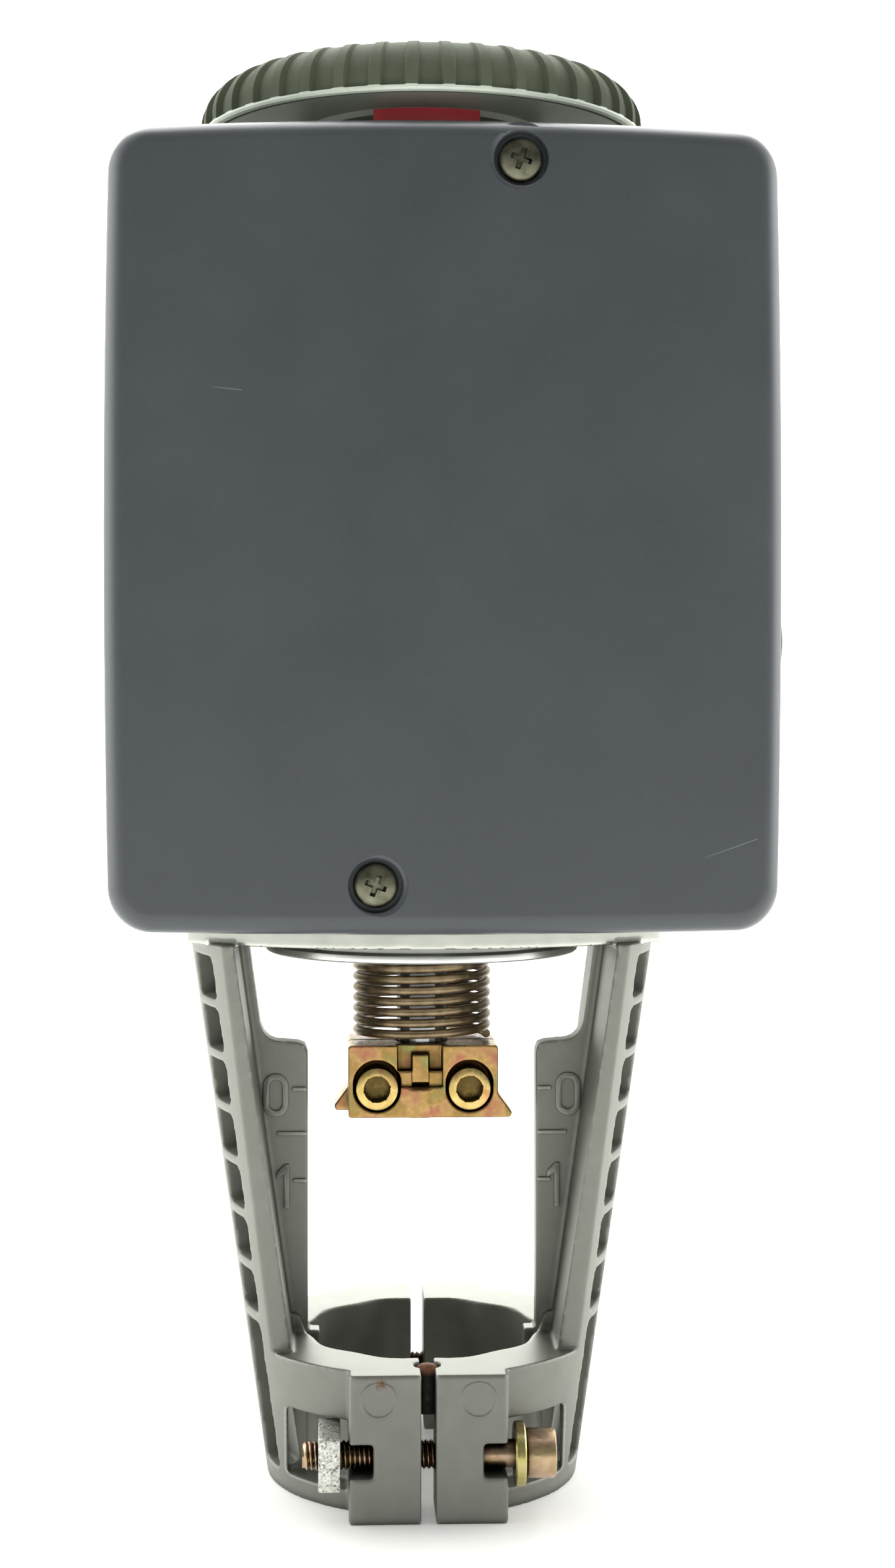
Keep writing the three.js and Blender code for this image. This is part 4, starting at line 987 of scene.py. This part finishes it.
# ---- hand knob ----
def knob_ring(inset, z, shrink=0.0):
    """Ribbed outline of the knob, its grooves broader than its ribs; a `shrink` of 1 fills them."""
    per_rib = 14
    ring = []
    for k in range(KNOB_RIBS * per_rib):
        share = k / per_rib % 1
        off = abs(share - 0.5)
        rise = max(0.0, min(1.0, (0.215 - off) / 0.045))
        rise = rise * rise * (3 - 2 * rise)
        radius = KNOB_RADIUS - GROOVE_DEPTH * (1 - rise) * (1 - shrink) - inset
        turn = 2 * math.pi * k / (KNOB_RIBS * per_rib)
        ring.append((radius * math.cos(turn), radius * math.sin(turn), z))
    return ring


def hand_knob():
    """Domed knob with a rim, a hub, a ring groove in its top and a well for the crank."""
    dome_width, dome_height = 11.0, 9.5
    rings = [knob_ring(1.3, KNOB_FOOT, 1), knob_ring(0.35, KNOB_FOOT + 0.15, 1),
             knob_ring(0.0, KNOB_FOOT + 0.6, 1), knob_ring(0.0, KNOB_FOOT + 1.0, 1),
             knob_ring(0.0, KNOB_FOOT + 1.15)]
    for k in range(13):
        turn = math.pi / 2 * k / 12
        rings.append(knob_ring(dome_width * (1 - math.cos(turn)),
                               KNOB_TOP - dome_height * (1 - math.sin(turn)), (k / 12) ** 4 * 0.6))
    rings.append(knob_ring(11.9, KNOB_TOP, 1))
    knob = skin(rings)
    cut(knob, turned([(0, 289), (46.4, 289), (46.0, 290.6), (44.6, 292), (0, 292)], 160))
    hub = [(0, 284.9), (25.6, 284.9), (26, 285.3), (26, 291.0), (27, 292.0), (27, 293), (0, 293)]
    joined(knob, turned(hub, 128))
    dish = turned([(33, 303), (33, 301.8), (34.6, 301.8), (34.6, 303)], 160)
    cut(knob, dish, block(-7.4, 7.4, -26, 50.5, 294.3, 303),
        drill("x", 1.5, -12, 12, CRANK_HINGE, 24),
        drill("z", 8, 286.6, CRANK_FOOT, GRIP_AT), drill("z", 6.3, 283.9, 289),
        drill("z", 2.3, 288, 292), drill("z", 4.6, 291, CRANK_FOOT))
    finishes = [KNOB, KNOB_RIM_PAINTED_HIGHLIGHT, KNOB_UNDER_PAINTED_LIGHT]
    place(knob, "ribbed_knob", "knob", finishes, "adjuster_knob", 28)
    for face in knob.data.polygons:
        c = face.center / MM
        out = math.hypot(c.x, c.y)
        # faces of the lower rim take the painted highlight
        if c.z < KNOB_FOOT + 1.1 and out > 45.9:
            face.material_index = 1
        # underside faces take the paler copy with painted light
        elif face.normal.z < -0.5 and out > 26.5:
            face.material_index = 2


def crank():
    """Fold-out crank that lies in the top of the knob, its grip in a well below it."""
    end, top = -23.4, 301.4
    hinge_y, hinge_z = CRANK_HINGE
    eye = hinge_z - CRANK_FOOT
    side = [(end, CRANK_FOOT), (hinge_y, CRANK_FOOT)]
    side += [(hinge_y + eye * math.sin(a), hinge_z - eye * math.cos(a))
             for a in (math.pi * k / 10 for k in range(1, 10))]
    side += [(hinge_y, hinge_z + eye), (31, hinge_z + eye), (28.6, top), (end + 2, top),
             (end + 0.6, 300.6), (end, 299)]
    arm = prism(side, "x", -7, 7)
    eased(arm, 0.6, 3, 40)
    cut(arm, prism(rounded(oblong(-4.5, 4.5, -20, -8), 3.5), "z", 300.6, 303))
    joined(arm, drill("z", 2.5, 288.4, CRANK_FOOT + 0.5, GRIP_AT))
    cut(arm, drill("x", 1.5, -8, 8, CRANK_HINGE, 24))
    place(arm, "fold_out_crank", "crank", KNOB, "crank_arm")
    grip = turned([(2.8, 287.3), (6.9, 287.3), (7.5, 287.9), (7.5, 294.0), (6.9, 294.6),
                   (2.8, 294.6)], 64, "z", GRIP_AT)
    place(grip, "crank_roller", "grip", BLACK, "crank_grip")


def position_mark():
    """Red insert on the neck at the front."""
    reach = math.radians(21.5)
    arcs = [-math.pi / 2 - reach + 2 * reach * k / 24 for k in range(25)]
    outer, inner = 30.6, 26.9
    outline = [(outer * math.cos(a), outer * math.sin(a)) for a in arcs]
    outline += [(inner * math.cos(a), inner * math.sin(a)) for a in reversed(arcs)]
    mark = prism(outline, "z", 287.3, 291)
    place(eased(mark, 0.25), "red_position_mark", "root", RED, "indicator_ring")


# ---- studio ----
def studio():
    """Pale floor in a surround that is brighter behind the part than in front of it, one broad lamp
    overhead and a soft one at each side."""
    sweep, surface, here = new_finish("matt_white_sweep", Roughness=0.85, Specular_IOR_Level=0.2,
                                      Emission_Strength=0.2)
    cloud = add_node(sweep, "TexNoise", {"Vector": here, "Scale": 1 / 40.0, "Detail": 3.0})
    pale = {0: cloud, 6: linear("#F2F2EE"), 7: linear("#F7F7F4")}
    finished(sweep, surface, Base_Color=add_node(sweep, "Mix", pale, **COLOUR_MIX))
    reach = 4000.0
    corners = [(x, y, 0) for x, y in oblong(-reach, reach, -reach, reach)]
    floor = make_piece(corners, [(0, 1, 2, 3)])
    floor.name = "studio_floor"
    floor.data.name = "studio_floor"
    floor.data.transform(Matrix.Scale(MM, 4))
    floor.data.materials.append(sweep)
    world = bpy.data.worlds.new("white_surround")
    world.use_nodes = True
    background = world.node_tree.nodes["Background"]
    background.inputs["Color"].default_value = linear("#FFFFFC")
    bpy.context.scene.world = world
    facing = add_node(world, "TexCoord", out="Generated")
    towards = add_node(world, "VectorMath", {0: facing, 1: (0.0, 0.85, 0.3)}, out="Value",
                       operation="DOT_PRODUCT")
    light = add_node(world, "MapRange", {"Value": towards, "From Min": -0.1, "From Max": 0.8,
                                         "To Min": 0.3, "To Max": 2.6})
    world.node_tree.links.new(light, background.inputs["Strength"])
    lamps = (("overhead", (0.0, 0.3, 1.0), 0.9, 14.0), ("left_panel", (-0.8, 0.1, 0.35), 0.6, 2.5),
             ("right_panel", (0.85, 0.15, 0.35), 0.6, 3.0))
    for name, at, size, power in lamps:
        lamp = bpy.data.lights.new(name, "AREA")
        lamp.size = size
        lamp.energy = power
        holder = bpy.data.objects.new(name, lamp)
        holder.location = at
        aim = Vector((0, 0, 0.15)) - Vector(at)
        holder.rotation_euler = aim.to_track_quat("-Z", "Y").to_euler()
        bpy.context.scene.collection.objects.link(holder)


def camera():
    """Level, half a metre in front and a couple of degrees to the left."""
    data = bpy.data.cameras.new("camera")
    data.lens = 54.0
    data.sensor_width = 36.0
    data.shift_x = 0.016
    data.shift_y = -0.044
    holder = bpy.data.objects.new("camera", data)
    turn = math.radians(2.2)
    holder.location = (-0.0197, -0.5176, 0.165)
    holder.rotation_euler = (math.pi / 2, 0, -turn)
    bpy.context.scene.collection.objects.link(holder)
    bpy.context.scene.camera = holder


bpy.context.scene.view_settings.view_transform = "Standard"
for build in (camera, studio, bracket, clamp_hardware, springs, coupling, cap, front_cover,
              cover_screws, rear_housing, gasket, cable_entries, hand_knob, crank, position_mark):
    build()
